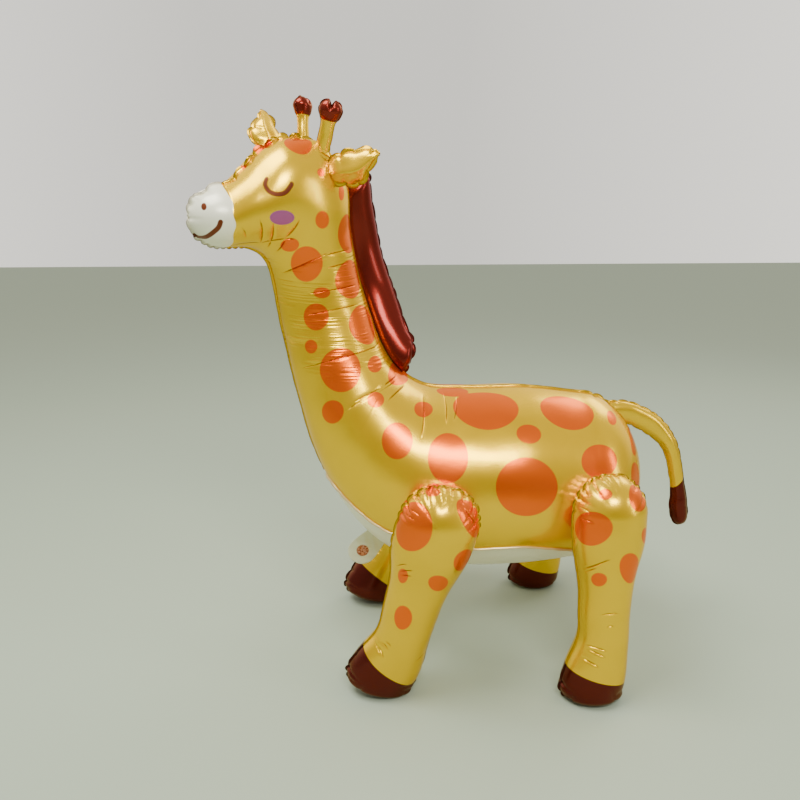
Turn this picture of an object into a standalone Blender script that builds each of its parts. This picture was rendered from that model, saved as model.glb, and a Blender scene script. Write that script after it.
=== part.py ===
"""A standing giraffe foil balloon, about 0.77 m tall.

Every inflated chamber is one closed solid: the body with its neck and head, four legs, the mane,
the tail, two ears and two horns. A flat filling tab hangs below the chest. The giraffe faces -X, its
left side is -Y, and the soles stand on z = 0. Sizes are metres and degrees.
"""

import math

import bmesh
import bpy
from mathutils import Matrix, Vector

# Overall size: the body's and the tail's outlines are in thousandths of the figure's height, and
# every other size is the one that a figure 0.780 m tall has.
FIGURE_HEIGHT = 0.780
THOUSANDTH = FIGURE_HEIGHT / 1000.0
SIZE = FIGURE_HEIGHT / 0.780

# The film of one piece keeps this clearance to the film of its neighbour.
SEAT_GAP = 0.0004

# Body: one row for each rib, from the rump forward to the muzzle. A rib runs from the belly line
# to the back line in the middle plane, and its last number is its half width across.
BODY_RIBS = (
    # belly x, belly z, back x, back z, half width
    (22, 180, 22, 488, 154),
    (-77, 172, -77, 500, 170),
    (-190, 173, -180, 500, 171),
    (-286, 190, -246, 504, 164),
    (-357, 232, -285, 520, 147),
    (-415, 306, -308, 542, 128),
    (-456, 396, -327, 569, 108),
    (-483, 500, -344, 609, 86),
    (-503, 597, -359, 668, 77),
    (-515, 674, -375, 732, 74),
    (-524, 715, -389, 796, 75),
    (-534, 734, -399, 864, 78),
    (-548, 746, -442, 911, 80),
    (-568, 754, -503, 918, 78),
    (-589, 755, -557, 886, 67),
    (-609, 755, -603, 848, 55),
)
RUMP_LENGTH = 0.091 * SIZE
MUZZLE_LENGTH = 0.043 * SIZE
BODY_RINGS_PER_RIB = 2
BODY_SIDES = 32

# The neck twists as it rises, so the head looks to the giraffe's left and leans that way.
HEAD_TURN = 26.0
HEAD_LEAN = 8.0
TWIST_STARTS_AT = 0.422 * SIZE
TWIST_ENDS_AT = 0.592 * SIZE
HEAD_PIVOT = Vector((-0.345, 0.0, 0.616)) * SIZE

# Legs: four pillows with a rounded top and a hoof that reaches forward.
FRONT_LEG_LENGTH = 0.318 * SIZE
REAR_LEG_LENGTH = 0.313 * SIZE
FRONT_THIGH_LENGTH = 0.104 * SIZE
REAR_THIGH_LENGTH = 0.095 * SIZE
THIGH_DEPTH = 0.092 * SIZE
FRONT_SHIN_LENGTH = 0.072 * SIZE
REAR_SHIN_LENGTH = 0.067 * SIZE
SHIN_DEPTH = 0.070 * SIZE
FRONT_HOOF_LENGTH = 0.096 * SIZE
REAR_HOOF_LENGTH = 0.087 * SIZE
HOOF_DEPTH = 0.070 * SIZE
HOOF_HEIGHT = 0.052 * SIZE
TOE_REACH = 0.012 * SIZE
LEG_PRESSED_IN = 0.020 * SIZE
FRONT_THIGH_HEIGHT = 0.253 * SIZE
REAR_THIGH_HEIGHT = 0.260 * SIZE
FRONT_THIGH_X = -0.198 * SIZE
REAR_THIGH_X = 0.023 * SIZE
FRONT_LEG_RAKE = 14.5
REAR_LEG_RAKE = 0.5
FRONT_STANCE = 0.246 * SIZE
REAR_STANCE = 0.326 * SIZE
LEG_RINGS_PER_ROW = 2
LEG_SIDES = 20

# Mane: a slim pillow that follows the back of the neck.
MANE_FIRST_RIB = 4.8
MANE_LAST_RIB = 10.45
MANE_DEPTH = 0.051 * SIZE
MANE_THICKNESS = 0.030 * SIZE
MANE_TAPER = 0.12
MANE_PRESSED_IN = 0.004 * SIZE
MANE_END_LENGTH = 0.014 * SIZE
MANE_RINGS = 14
MANE_SIDES = 12

# Tail: springs from the rump, arches over and hangs down to a thicker tuft.
TAIL_LINE = ((80, 452), (122, 451), (174, 423), (207, 379), (223, 325), (231, 283))
TAIL_DEPTH = 0.024 * SIZE
TAIL_THICKNESS = 0.022 * SIZE
TAIL_TAPER = 0.30
TUFT_LINE = ((233, 262), (236, 246))
TUFT_DEPTH = 0.025 * SIZE
TUFT_THICKNESS = 0.023 * SIZE
TUFT_END_LENGTH = 0.020 * SIZE
TAIL_RINGS_PER_POINT = 2
TAIL_SIDES = 12

# Ears: leaf-shaped pillows at the sides of the crown, the left one swept back, the right one raised.
# Roots and tips are measured from the head's pivot, forward along -X.
LEFT_EAR_ROOT = Vector((-0.008, -0.040, 0.068)) * SIZE
LEFT_EAR_TIP = Vector((0.038, -0.096, 0.086)) * SIZE
LEFT_EAR_BLADE = Vector((0.0, 0.0, 1.0))
RIGHT_EAR_ROOT = Vector((-0.046, 0.038, 0.072)) * SIZE
RIGHT_EAR_TIP = Vector((-0.054, 0.088, 0.132)) * SIZE
RIGHT_EAR_BLADE = Vector((1.0, 0.0, 0.0))
EAR_WIDTH = 0.044 * SIZE
EAR_THICKNESS = 0.022 * SIZE
EAR_SIDES = 14
EAR_RINGS = 9

# Horns: slim stems with a heart-shaped knob.
HORN_STEM_LENGTH = 0.050 * SIZE
HORN_STEM_WIDTH = 0.0170 * SIZE
HORN_STEM_DEPTH = 0.0140 * SIZE
HORN_KNOB_WIDTH = 0.0290 * SIZE
HORN_KNOB_DEPTH = 0.0230 * SIZE
HORN_KNOB_HEIGHT = 0.0250 * SIZE
HORN_NOTCH_DEPTH = 0.0080 * SIZE
HORN_NOTCH_WIDTH = 0.0160 * SIZE
HORN_PLACE = Vector((-0.010, 0.026, 0.081)) * SIZE
HORN_SPLAY = 15.0
HORN_REARWARD = 4.0
HORN_TURN = 60.0
HORN_SIDES = 12

# Filling tab: a flat round-ended tongue of film below the chest.
TAB_LENGTH = 0.064 * SIZE
TAB_WIDTH = 0.042 * SIZE
TAB_ROOT_WIDTH = 0.030 * SIZE
TAB_THICKNESS = 0.0012
TAB_RIB = 3.70
TAB_PRESSED_IN = 0.008 * SIZE
TAB_DROOP = 47.0
TAB_ARC_POINTS = 16

# Foil colours: red, green, blue, roughness.
YELLOW_FOIL = (0.84, 0.55, 0.01, 0.24)
BROWN_FOIL = (0.09, 0.02, 0.015, 0.22)
PEARL_FOIL = (0.78, 0.80, 0.66, 0.30)


def foil(name, red, green, blue, roughness):
    """A printed metallised film."""
    material = bpy.data.materials.new(name)
    material.use_nodes = True
    shader = material.node_tree.nodes["Principled BSDF"]
    shader.inputs["Base Color"].default_value = (red, green, blue, 1.0)
    shader.inputs["Metallic"].default_value = 0.6
    shader.inputs["Roughness"].default_value = roughness
    material.diffuse_color = (red, green, blue, 1.0)
    return material


def smooth_step(low, high, value):
    share = min(1.0, max(0.0, (value - low) / (high - low)))
    return share * share * (3.0 - 2.0 * share)


def along_rows(rows, place):
    """The row at a place between rows, on a smooth curve through all of them."""
    last = len(rows) - 1
    index = min(last - 1, max(0, int(math.floor(place))))
    share = place - index
    before, here = rows[max(0, index - 1)], rows[index]
    following, after = rows[index + 1], rows[min(last, index + 2)]
    found = []
    for p, q, r, s in zip(before, here, following, after):
        bend = (2 * p - 5 * q + 4 * r - s) * share**2 + (3 * q - p - 3 * r + s) * share**3
        found.append(0.5 * (2 * q + (r - p) * share + bend))
    return found


def ring(centre, across, half_across, sideways, half_sideways, count):
    """Points of an ellipse, the first one at the far end of across."""
    points = []
    for index in range(count):
        angle = 2.0 * math.pi * index / count
        points.append(
            centre
            + across * (half_across * math.cos(angle))
            + sideways * (half_sideways * math.sin(angle))
        )
    return points


def closed_skin(name, rings, first_tip, last_tip):
    """A mesh through rings of equal count, closed by a fan to a tip at either end."""
    work = bmesh.new()
    loops = [[work.verts.new(point) for point in points] for points in rings]
    count = len(loops[0])
    for lower, upper in zip(loops, loops[1:]):
        for index in range(count):
            after = (index + 1) % count
            work.faces.new((lower[index], lower[after], upper[after], upper[index]))
    for loop, tip in ((loops[0], first_tip), (loops[-1], last_tip)):
        pole = work.verts.new(tip)
        for index in range(count):
            work.faces.new((loop[index], loop[(index + 1) % count], pole))
    bmesh.ops.recalc_face_normals(work, faces=work.faces)
    mesh = bpy.data.meshes.new(name)
    work.to_mesh(mesh)
    work.free()
    mesh.shade_smooth()
    return mesh


def domed_end(centre, outward, length, across, half_across, sideways, half_sideways, count, steps):
    """Rings of a dome that closes a tube, from its rim outwards, and the dome's tip."""
    rings = []
    for step in range(1, steps):
        angle = 0.5 * math.pi * step / steps
        shrink = math.cos(angle)
        place = centre + outward * (length * math.sin(angle))
        rings.append(
            ring(place, across, half_across * shrink, sideways, half_sideways * shrink, count)
        )
    return rings, centre + outward * length


def add_piece(name, mesh, material, parent, matrix=None):
    """A named object with its material, placed under its parent."""
    piece = bpy.data.objects.new(name, mesh)
    mesh.materials.append(material)
    bpy.context.scene.collection.objects.link(piece)
    piece.parent = parent
    if matrix is not None:
        piece.location = matrix.to_translation()
        piece.rotation_euler = matrix.to_euler()
    return piece


def cut_by(piece, cutter):
    """Cuts away what reaches into the cutter."""
    cut = piece.modifiers.new("Seat on " + cutter.name, "BOOLEAN")
    cut.operation = "DIFFERENCE"
    cut.solver = "EXACT"
    cut.object = cutter


def hide_as_cutter(helper):
    helper.hide_render = True
    helper.display_type = "WIRE"


def head_matrix():
    """Places what is measured from the head's pivot, forward along -X, on the turned head."""
    turn = Matrix.Rotation(math.radians(HEAD_TURN), 4, "Z")
    lean = Matrix.Rotation(math.radians(HEAD_LEAN), 4, "X")
    return Matrix.Translation(HEAD_PIVOT) @ turn @ lean


def twist_neck(point):
    """Turns and leans a point of the straight figure as far as its height asks."""
    share = smooth_step(TWIST_STARTS_AT, TWIST_ENDS_AT, point.z)
    turn = Matrix.Rotation(math.radians(HEAD_TURN) * share, 3, "Z")
    lean = Matrix.Rotation(math.radians(HEAD_LEAN) * share, 3, "X")
    return HEAD_PIVOT + turn @ (lean @ (point - HEAD_PIVOT))


def body_rib(place):
    """Belly point, back point and half width of the straight figure, in metres."""
    belly_x, belly_z, back_x, back_z, half_width = (
        value * THOUSANDTH for value in along_rows(BODY_RIBS, place)
    )
    return Vector((belly_x, 0, belly_z)), Vector((back_x, 0, back_z)), half_width


def torso_half_width(x):
    """Half width of the torso where the middle of its rib has this x."""
    steps = 60
    nearest = min(
        (5.0 * step / steps for step in range(steps + 1)),
        key=lambda place: abs((body_rib(place)[0].x + body_rib(place)[1].x) / 2 - x),
    )
    return body_rib(nearest)[2]


def body_mesh(name):
    sideways = Vector((0, 1, 0))
    rings = []
    count = (len(BODY_RIBS) - 1) * BODY_RINGS_PER_RIB
    for step in range(count + 1):
        belly, back, half_width = body_rib(step / BODY_RINGS_PER_RIB)
        across = (back - belly).normalized()
        half = (back - belly).length / 2
        rings.append(ring((belly + back) / 2, across, half, sideways, half_width, BODY_SIDES))
    ends = []
    for place, length, outward_sign in ((0, RUMP_LENGTH, 1), (len(BODY_RIBS) - 1, MUZZLE_LENGTH, -1)):
        belly, back, half_width = body_rib(place)
        across = (back - belly).normalized()
        outward = Vector((across.z, 0, -across.x)) * outward_sign
        half = (back - belly).length / 2
        ends.append(
            domed_end(
                (belly + back) / 2, outward, length, across, half, sideways, half_width, BODY_SIDES, 7
            )
        )
    (rump, rump_tip), (muzzle, muzzle_tip) = ends
    rings = rump[::-1] + rings + muzzle
    rings = [[twist_neck(point) for point in points] for points in rings]
    return closed_skin(name, rings, twist_neck(rump_tip), twist_neck(muzzle_tip))


def build_body(root, material):
    return add_piece("body", body_mesh("body"), material, root)


def build_seat_cutter(body, root):
    """The body swollen by the clearance: everything that sits on the body is cut by it."""
    cutter = add_piece("body_seat", body.data.copy(), body.data.materials[0], root)
    swell = cutter.modifiers.new("Clearance", "DISPLACE")
    swell.strength = SEAT_GAP
    swell.mid_level = 0.0
    hide_as_cutter(cutter)
    return cutter


def build_floor_cutter(root):
    """A block below the floor that flattens the soles."""
    width = 2.0 * FIGURE_HEIGHT
    depth = 0.2 * FIGURE_HEIGHT
    bpy.ops.mesh.primitive_cube_add(size=1.0, location=(0, 0, -depth / 2))
    floor = bpy.context.active_object
    floor.name = "floor"
    floor.scale = (width, width, depth)
    floor.parent = root
    hide_as_cutter(floor)
    return floor


def leg_profile(leg_length, thigh_length, shin_length, hoof_length):
    """Rows down the leg: distance below its top, half length, half depth, forward shift."""
    knee = 0.5 * (leg_length - HOOF_HEIGHT)
    thigh_middle = thigh_length / 2
    return (
        (thigh_middle, thigh_length / 2, THIGH_DEPTH / 2, 0.0),
        (0.5 * (thigh_middle + knee), 0.485 * thigh_length, 0.49 * THIGH_DEPTH, 0.0),
        (knee + 0.010, 0.545 * shin_length, 0.54 * SHIN_DEPTH, 0.0),
        (knee + 0.055, shin_length / 2, SHIN_DEPTH / 2, 0.0),
        (leg_length - 1.75 * HOOF_HEIGHT, shin_length / 2, SHIN_DEPTH / 2, 0.0),
        (leg_length - HOOF_HEIGHT, 0.465 * hoof_length, HOOF_DEPTH / 2, 0.6 * TOE_REACH),
        (leg_length - 0.5 * HOOF_HEIGHT, hoof_length / 2, HOOF_DEPTH / 2, TOE_REACH),
        (leg_length - 0.3 * HOOF_HEIGHT, 0.49 * hoof_length, 0.49 * HOOF_DEPTH, TOE_REACH),
    )


def leg_mesh(name, leg_length, thigh_length, shin_length, hoof_length):
    """A leg with its top at the origin, reaching down, with its toe towards -X."""
    forward, sideways, down = Vector((-1, 0, 0)), Vector((0, 1, 0)), Vector((0, 0, -1))
    rows = leg_profile(leg_length, thigh_length, shin_length, hoof_length)
    rings = []
    for step in range((len(rows) - 1) * LEG_RINGS_PER_ROW + 1):
        drop, half_length, half_depth, shift = along_rows(rows, step / LEG_RINGS_PER_ROW)
        centre = down * drop + forward * shift
        rings.append(ring(centre, forward, half_length, sideways, half_depth, LEG_SIDES))
    ends = []
    for row, outward, length, steps in (
        (rows[0], -down, rows[0][0], 6),
        (rows[-1], down, leg_length - rows[-1][0], 4),
    ):
        drop, half_length, half_depth, shift = row
        centre = down * drop + forward * shift
        ends.append(
            domed_end(
                centre, outward, length, forward, half_length, sideways, half_depth, LEG_SIDES, steps
            )
        )
    (top, top_tip), (sole, sole_tip) = ends
    return closed_skin(name, top[::-1] + rings + sole, top_tip, sole_tip)


def leg_matrix(thigh_length, thigh_x, thigh_height, rake, stance, side):
    """Places a leg so that its thigh presses into the torso and its foot stands at the stance."""
    thigh_y = torso_half_width(thigh_x) + THIGH_DEPTH / 2 - LEG_PRESSED_IN
    foot_y = stance / 2
    tilt = math.atan2(thigh_y - foot_y, thigh_height)
    rotation = (
        Matrix.Rotation(math.radians(rake), 4, "Y")
        @ Matrix.Rotation(-side * tilt, 4, "X")
    )
    thigh = Vector((thigh_x, side * thigh_y, thigh_height))
    return Matrix.Translation(thigh) @ rotation @ Matrix.Translation((0, 0, thigh_length / 2))


def build_legs(root, material, seat, floor):
    front = (FRONT_THIGH_X, FRONT_THIGH_HEIGHT, FRONT_LEG_RAKE, FRONT_STANCE)
    rear = (REAR_THIGH_X, REAR_THIGH_HEIGHT, REAR_LEG_RAKE, REAR_STANCE)
    legs = []
    front_sizes = (FRONT_LEG_LENGTH, FRONT_THIGH_LENGTH, FRONT_SHIN_LENGTH, FRONT_HOOF_LENGTH)
    rear_sizes = (REAR_LEG_LENGTH, REAR_THIGH_LENGTH, REAR_SHIN_LENGTH, REAR_HOOF_LENGTH)
    for pair_name, sizes, stand in (
        ("leg_front", front_sizes, front),
        ("leg_rear", rear_sizes, rear),
    ):
        for side_name, side in (("left", -1), ("right", 1)):
            name = pair_name + "_" + side_name
            matrix = leg_matrix(sizes[1], *stand, side)
            leg = add_piece(name, leg_mesh(name, *sizes), material, root, matrix)
            cut_by(leg, seat)
            cut_by(leg, floor)
            legs.append(leg)
    return legs


def build_mane(root, material, seat):
    sideways = Vector((0, 1, 0))
    half_depth, half_thickness = MANE_DEPTH / 2, MANE_THICKNESS / 2
    centres = []
    for step in range(MANE_RINGS + 1):
        place = MANE_FIRST_RIB + (MANE_LAST_RIB - MANE_FIRST_RIB) * step / MANE_RINGS
        belly, back, _ = body_rib(place)
        outward = (back - belly).normalized()
        centres.append((back + outward * (half_depth - MANE_PRESSED_IN), outward))
    rings = []
    for index, (centre, outward) in enumerate(centres):
        share = 1.0 - MANE_TAPER * index / MANE_RINGS
        rings.append(
            ring(centre, outward, half_depth * share, sideways, half_thickness * share, MANE_SIDES)
        )
    ends = []
    for (centre, outward), (inner, _), share in (
        (centres[0], centres[1], 1.0),
        (centres[-1], centres[-2], 1.0 - MANE_TAPER),
    ):
        along = (centre - inner).normalized()
        ends.append(
            domed_end(
                centre,
                along,
                MANE_END_LENGTH,
                outward,
                half_depth * share,
                sideways,
                half_thickness * share,
                MANE_SIDES,
                4,
            )
        )
    (foot, foot_tip), (head, head_tip) = ends
    rings = foot[::-1] + rings + head
    rings = [[twist_neck(point) for point in points] for points in rings]
    mesh = closed_skin("mane", rings, twist_neck(foot_tip), twist_neck(head_tip))
    mane = add_piece("mane", mesh, material, root)
    cut_by(mane, seat)
    return mane


def build_tail(root, material, seat):
    sideways = Vector((0, 1, 0))
    rows = []
    for index, (x, z) in enumerate(TAIL_LINE):
        share = 1.0 - TAIL_TAPER * index / (len(TAIL_LINE) - 1)
        rows.append((x, z, TAIL_DEPTH / 2 * share, TAIL_THICKNESS / 2 * share))
    rows += [(x, z, TUFT_DEPTH / 2, TUFT_THICKNESS / 2) for x, z in TUFT_LINE]
    count = (len(rows) - 1) * TAIL_RINGS_PER_POINT
    samples = [along_rows(rows, step / TAIL_RINGS_PER_POINT) for step in range(count + 1)]
    centres = [Vector((x * THOUSANDTH, 0, z * THOUSANDTH)) for x, z, _, _ in samples]
    rings = []
    for index, (_, _, half_depth, half_thickness) in enumerate(samples):
        before, after = centres[max(0, index - 1)], centres[min(count, index + 1)]
        along = (after - before).normalized()
        outward = Vector((-along.z, 0, along.x))
        rings.append(ring(centres[index], outward, half_depth, sideways, half_thickness, TAIL_SIDES))
    root_along = (centres[0] - centres[1]).normalized()
    tuft, tuft_tip = domed_end(
        centres[-1],
        (centres[-1] - centres[-2]).normalized(),
        TUFT_END_LENGTH,
        outward,
        TUFT_DEPTH / 2,
        sideways,
        TUFT_THICKNESS / 2,
        TAIL_SIDES,
        5,
    )
    root_tip = centres[0] + root_along * TAIL_DEPTH / 4
    tail = add_piece("tail", closed_skin("tail", rings + tuft, root_tip, tuft_tip), material, root)
    cut_by(tail, seat)
    return tail


def ear_mesh(name, length):
    """A leaf along +Y, its root at the origin and its blade in the YZ plane."""
    along, across, through = Vector((0, 1, 0)), Vector((0, 0, 1)), Vector((1, 0, 0))
    rings = []
    for step in range(1, EAR_RINGS):
        share = step / EAR_RINGS
        swell = math.sin(math.pi * share) ** 0.6
        half_width = EAR_WIDTH / 2 * swell * (1.0 - 0.2 * share)
        half_thickness = EAR_THICKNESS / 2 * swell
        rings.append(
            ring(along * (length * share), across, half_width, through, half_thickness, EAR_SIDES)
        )
    return closed_skin(name, rings, Vector((0, 0, 0)), along * length)


def ear_matrix(ear_root, ear_tip, blade):
    """Places an ear on the head with its root, its tip and the direction its blade spreads in."""
    along = (ear_tip - ear_root).normalized()
    across = (blade - along * blade.dot(along)).normalized()
    turned = Matrix((along.cross(across), along, across)).transposed().to_4x4()
    return head_matrix() @ Matrix.Translation(ear_root) @ turned


def build_ears(root, material, seat):
    ears = []
    for name, ear_root, ear_tip, blade in (
        ("ear_left", LEFT_EAR_ROOT, LEFT_EAR_TIP, LEFT_EAR_BLADE),
        ("ear_right", RIGHT_EAR_ROOT, RIGHT_EAR_TIP, RIGHT_EAR_BLADE),
    ):
        mesh = ear_mesh(name, (ear_tip - ear_root).length)
        ear = add_piece(name, mesh, material, root, ear_matrix(ear_root, ear_tip, blade))
        cut_by(ear, seat)
        ears.append(ear)
    return ears


def notch_knob(point, knob_middle):
    """Sinks the top of a knob towards the middle, which leaves a lobe on either side."""
    nearness = max(0.0, 1.0 - abs(point.y) / (HORN_NOTCH_WIDTH / 2))
    rise = max(0.0, point.z - knob_middle) / (HORN_KNOB_HEIGHT / 2)
    return point - Vector((0, 0, HORN_NOTCH_DEPTH * nearness * rise))


def horn_mesh(name):
    """A horn along +Z, its root at the origin."""
    upward, across, through = Vector((0, 0, 1)), Vector((0, 1, 0)), Vector((1, 0, 0))
    knob_middle = HORN_STEM_LENGTH + HORN_KNOB_HEIGHT / 2
    rows = (
        (0.0, HORN_STEM_WIDTH / 2, HORN_STEM_DEPTH / 2),
        (0.5 * HORN_STEM_LENGTH, HORN_STEM_WIDTH / 2, HORN_STEM_DEPTH / 2),
        (0.94 * HORN_STEM_LENGTH, HORN_STEM_WIDTH / 2, HORN_STEM_DEPTH / 2),
        (HORN_STEM_LENGTH + 0.2 * HORN_KNOB_HEIGHT, 0.42 * HORN_KNOB_WIDTH, 0.42 * HORN_KNOB_DEPTH),
        (knob_middle, HORN_KNOB_WIDTH / 2, HORN_KNOB_DEPTH / 2),
    )
    per_row = 2
    rings = []
    for step in range((len(rows) - 1) * per_row + 1):
        rise, half_width, half_depth = along_rows(rows, step / per_row)
        rings.append(ring(upward * rise, across, half_width, through, half_depth, HORN_SIDES))
    knob, knob_tip = domed_end(
        upward * knob_middle,
        upward,
        HORN_KNOB_HEIGHT / 2,
        across,
        HORN_KNOB_WIDTH / 2,
        through,
        HORN_KNOB_DEPTH / 2,
        HORN_SIDES,
        5,
    )
    knob = [[notch_knob(point, knob_middle) for point in points] for points in knob]
    knob_tip = notch_knob(knob_tip, knob_middle)
    root_tip = upward * (-HORN_STEM_WIDTH / 8)
    return closed_skin(name, rings + knob, root_tip, knob_tip)


def build_horns(root, material, seat):
    horns = []
    for side_name, side in (("left", -1), ("right", 1)):
        name = "horn_" + side_name
        splay = Matrix.Rotation(-side * math.radians(HORN_SPLAY), 4, "X")
        rearward = Matrix.Rotation(math.radians(HORN_REARWARD), 4, "Y")
        place = Matrix.Translation((HORN_PLACE.x, side * HORN_PLACE.y, HORN_PLACE.z))
        turn = Matrix.Rotation(-side * math.radians(HORN_TURN), 4, "Z")
        matrix = head_matrix() @ place @ rearward @ splay @ turn
        horn = add_piece(name, horn_mesh(name), material, root, matrix)
        cut_by(horn, seat)
        horns.append(horn)
    return horns


def build_tab(root, material, seat):
    """A flat tongue along local -X with a round end."""
    half_root, radius = TAB_ROOT_WIDTH / 2, TAB_WIDTH / 2
    outline = [(0.0, -half_root), (0.0, half_root)]
    for index in range(TAB_ARC_POINTS + 1):
        angle = math.pi * (index / TAB_ARC_POINTS - 0.5)
        outline.append((radius - TAB_LENGTH - radius * math.cos(angle), -radius * math.sin(angle)))
    work = bmesh.new()
    flat = work.faces.new([work.verts.new((x, -TAB_THICKNESS / 2, z)) for x, z in outline])
    grown = bmesh.ops.extrude_face_region(work, geom=[flat])
    far_side = [item for item in grown["geom"] if isinstance(item, bmesh.types.BMVert)]
    bmesh.ops.translate(work, verts=far_side, vec=(0, TAB_THICKNESS, 0))
    bmesh.ops.recalc_face_normals(work, faces=work.faces)
    mesh = bpy.data.meshes.new("filling_tab")
    work.to_mesh(mesh)
    work.free()
    belly, back, _ = body_rib(TAB_RIB)
    start = belly + (back - belly).normalized() * TAB_PRESSED_IN
    matrix = Matrix.Translation(start) @ Matrix.Rotation(-math.radians(TAB_DROOP), 4, "Y")
    tab = add_piece("filling_tab", mesh, material, root, matrix)
    cut_by(tab, seat)
    return tab


def centre_over_origin(root, pieces):
    """Moves the whole figure so that the middle of its bounding box is over the origin."""
    bpy.context.view_layer.update()
    graph = bpy.context.evaluated_depsgraph_get()
    corners = []
    for piece in pieces:
        shown = piece.evaluated_get(graph)
        corners += [shown.matrix_world @ vertex.co for vertex in shown.data.vertices]
    for axis in (0, 1):
        low = min(corner[axis] for corner in corners)
        high = max(corner[axis] for corner in corners)
        root.location[axis] -= (low + high) / 2


def main():
    for leftover in list(bpy.data.objects):
        bpy.data.objects.remove(leftover)
    yellow = foil("yellow foil", *YELLOW_FOIL)
    brown = foil("brown foil", *BROWN_FOIL)
    pearl = foil("pearl foil", *PEARL_FOIL)
    root = bpy.data.objects.new("giraffe", None)
    bpy.context.scene.collection.objects.link(root)
    body = build_body(root, yellow)
    seat = build_seat_cutter(body, root)
    floor = build_floor_cutter(root)
    pieces = [body]
    pieces += build_legs(root, yellow, seat, floor)
    pieces += build_ears(root, yellow, seat)
    pieces += build_horns(root, brown, seat)
    pieces.append(build_mane(root, brown, seat))
    pieces.append(build_tail(root, yellow, seat))
    pieces.append(build_tab(root, pearl, seat))
    centre_over_origin(root, pieces)


main()
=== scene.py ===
"""Dresses the giraffe foil balloon: gas-filled film chambers, printed foil and a small studio."""

import math

import bpy
import numpy as np
from bpy.props import FloatProperty, FloatVectorProperty, PointerProperty
from mathutils import Matrix, Vector, noise
from mathutils.bvhtree import BVHTree
from mathutils.kdtree import KDTree


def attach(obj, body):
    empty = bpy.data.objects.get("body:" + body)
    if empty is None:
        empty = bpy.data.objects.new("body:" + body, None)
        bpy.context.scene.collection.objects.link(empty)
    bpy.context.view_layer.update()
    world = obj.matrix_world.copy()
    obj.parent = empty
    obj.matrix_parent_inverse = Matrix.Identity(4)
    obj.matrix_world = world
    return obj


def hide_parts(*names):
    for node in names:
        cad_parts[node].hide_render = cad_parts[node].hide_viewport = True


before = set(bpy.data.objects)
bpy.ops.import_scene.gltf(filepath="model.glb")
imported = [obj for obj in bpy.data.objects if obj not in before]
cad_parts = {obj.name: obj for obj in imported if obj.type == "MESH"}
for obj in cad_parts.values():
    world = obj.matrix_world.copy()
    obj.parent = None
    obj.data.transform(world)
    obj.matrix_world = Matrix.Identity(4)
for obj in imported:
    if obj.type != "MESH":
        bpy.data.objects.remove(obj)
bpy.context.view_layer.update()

bl_info = {
    "name": "Giraffe Foil Balloon",
    "version": (1, 0, 0),
    "blender": (4, 5, 0),
    "location": "View3D > Sidebar > Balloon",
    "description": "Inflates and prints a standing giraffe balloon made of metallised film",
    "category": "Object",
}

# Proportions, as the solids have them: outlines in thousandths of the figure's height.
FIGURE_HEIGHT = 0.780
THOUSANDTH = FIGURE_HEIGHT / 1000.0

# One row for each rib of the body: belly x, belly z, back x, back z, half width.
BODY_RIBS = (
    (22, 180, 22, 488, 154),
    (-77, 172, -77, 500, 170),
    (-190, 173, -180, 500, 171),
    (-286, 190, -246, 504, 164),
    (-357, 232, -285, 520, 147),
    (-415, 306, -308, 542, 128),
    (-456, 396, -327, 569, 108),
    (-483, 500, -344, 609, 86),
    (-503, 597, -359, 668, 77),
    (-515, 674, -375, 732, 74),
    (-524, 715, -389, 796, 75),
    (-534, 734, -399, 864, 78),
    (-548, 746, -442, 911, 80),
    (-568, 754, -503, 918, 78),
    (-589, 755, -557, 886, 67),
    (-609, 755, -603, 848, 55),
)
RUMP_LENGTH = 0.091
MUZZLE_LENGTH = 0.043
HEAD_TURN = 26.0
HEAD_LEAN = 8.0
TWIST_STARTS_AT = 0.422
TWIST_ENDS_AT = 0.592
HEAD_PIVOT = np.array((-0.345, 0.0, 0.616))

# The belly gusset is a boat-shaped third panel between these ribs.
GUSSET_FIRST_RIB = -0.55
GUSSET_LAST_RIB = 5.5
GUSSET_HALF_ANGLE = 57.0
GUSSET_REAR_EXTRA = 10.0

# Legs, in metres: length, and lengths along the figure of the thigh, shin and hoof.
FRONT_LEG = (0.318, 0.104, 0.072, 0.096)
REAR_LEG = (0.313, 0.095, 0.067, 0.087)

# Where they stand: thigh x, thigh height, rake in degrees, stance.
FRONT_STAND = (-0.198, 0.253, 14.5, 0.246)
REAR_STAND = (0.023, 0.260, 0.5, 0.326)
THIGH_DEPTH = 0.092
SHIN_DEPTH = 0.070
HOOF_DEPTH = 0.070
HOOF_HEIGHT = 0.052
TOE_REACH = 0.012
LEG_PRESSED_IN = 0.020

# Mane, tail, ears, horns and filling tab, in metres.
MANE_FIRST_RIB = 4.8
MANE_LAST_RIB = 10.45
MANE_DEPTH = 0.051
MANE_THICKNESS = 0.030
MANE_TAPER = 0.12
MANE_PRESSED_IN = 0.004
MANE_END_LENGTH = 0.014
TAIL_LINE = ((80, 452), (122, 451), (174, 423), (207, 379), (223, 325), (231, 283))
TUFT_LINE = ((233, 262), (236, 246))
TAIL_DEPTH = 0.024
TAIL_THICKNESS = 0.022
TAIL_TAPER = 0.30
TUFT_DEPTH = 0.025
TUFT_THICKNESS = 0.023
TUFT_END_LENGTH = 0.020
EAR_WIDTH = 0.044
EAR_THICKNESS = 0.022
HORN_STEM_LENGTH = 0.050
HORN_STEM_WIDTH = 0.0170
HORN_STEM_DEPTH = 0.0140
HORN_KNOB_WIDTH = 0.0290
HORN_KNOB_DEPTH = 0.0230
HORN_KNOB_HEIGHT = 0.0250
HORN_NOTCH_DEPTH = 0.0090
HORN_NOTCH_WIDTH = 0.0080
HORN_PLACE = (-0.010, 0.026, 0.081)
HORN_SPLAY = 15.0
HORN_REARWARD = 4.0
HORN_TURN = 60.0

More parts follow.
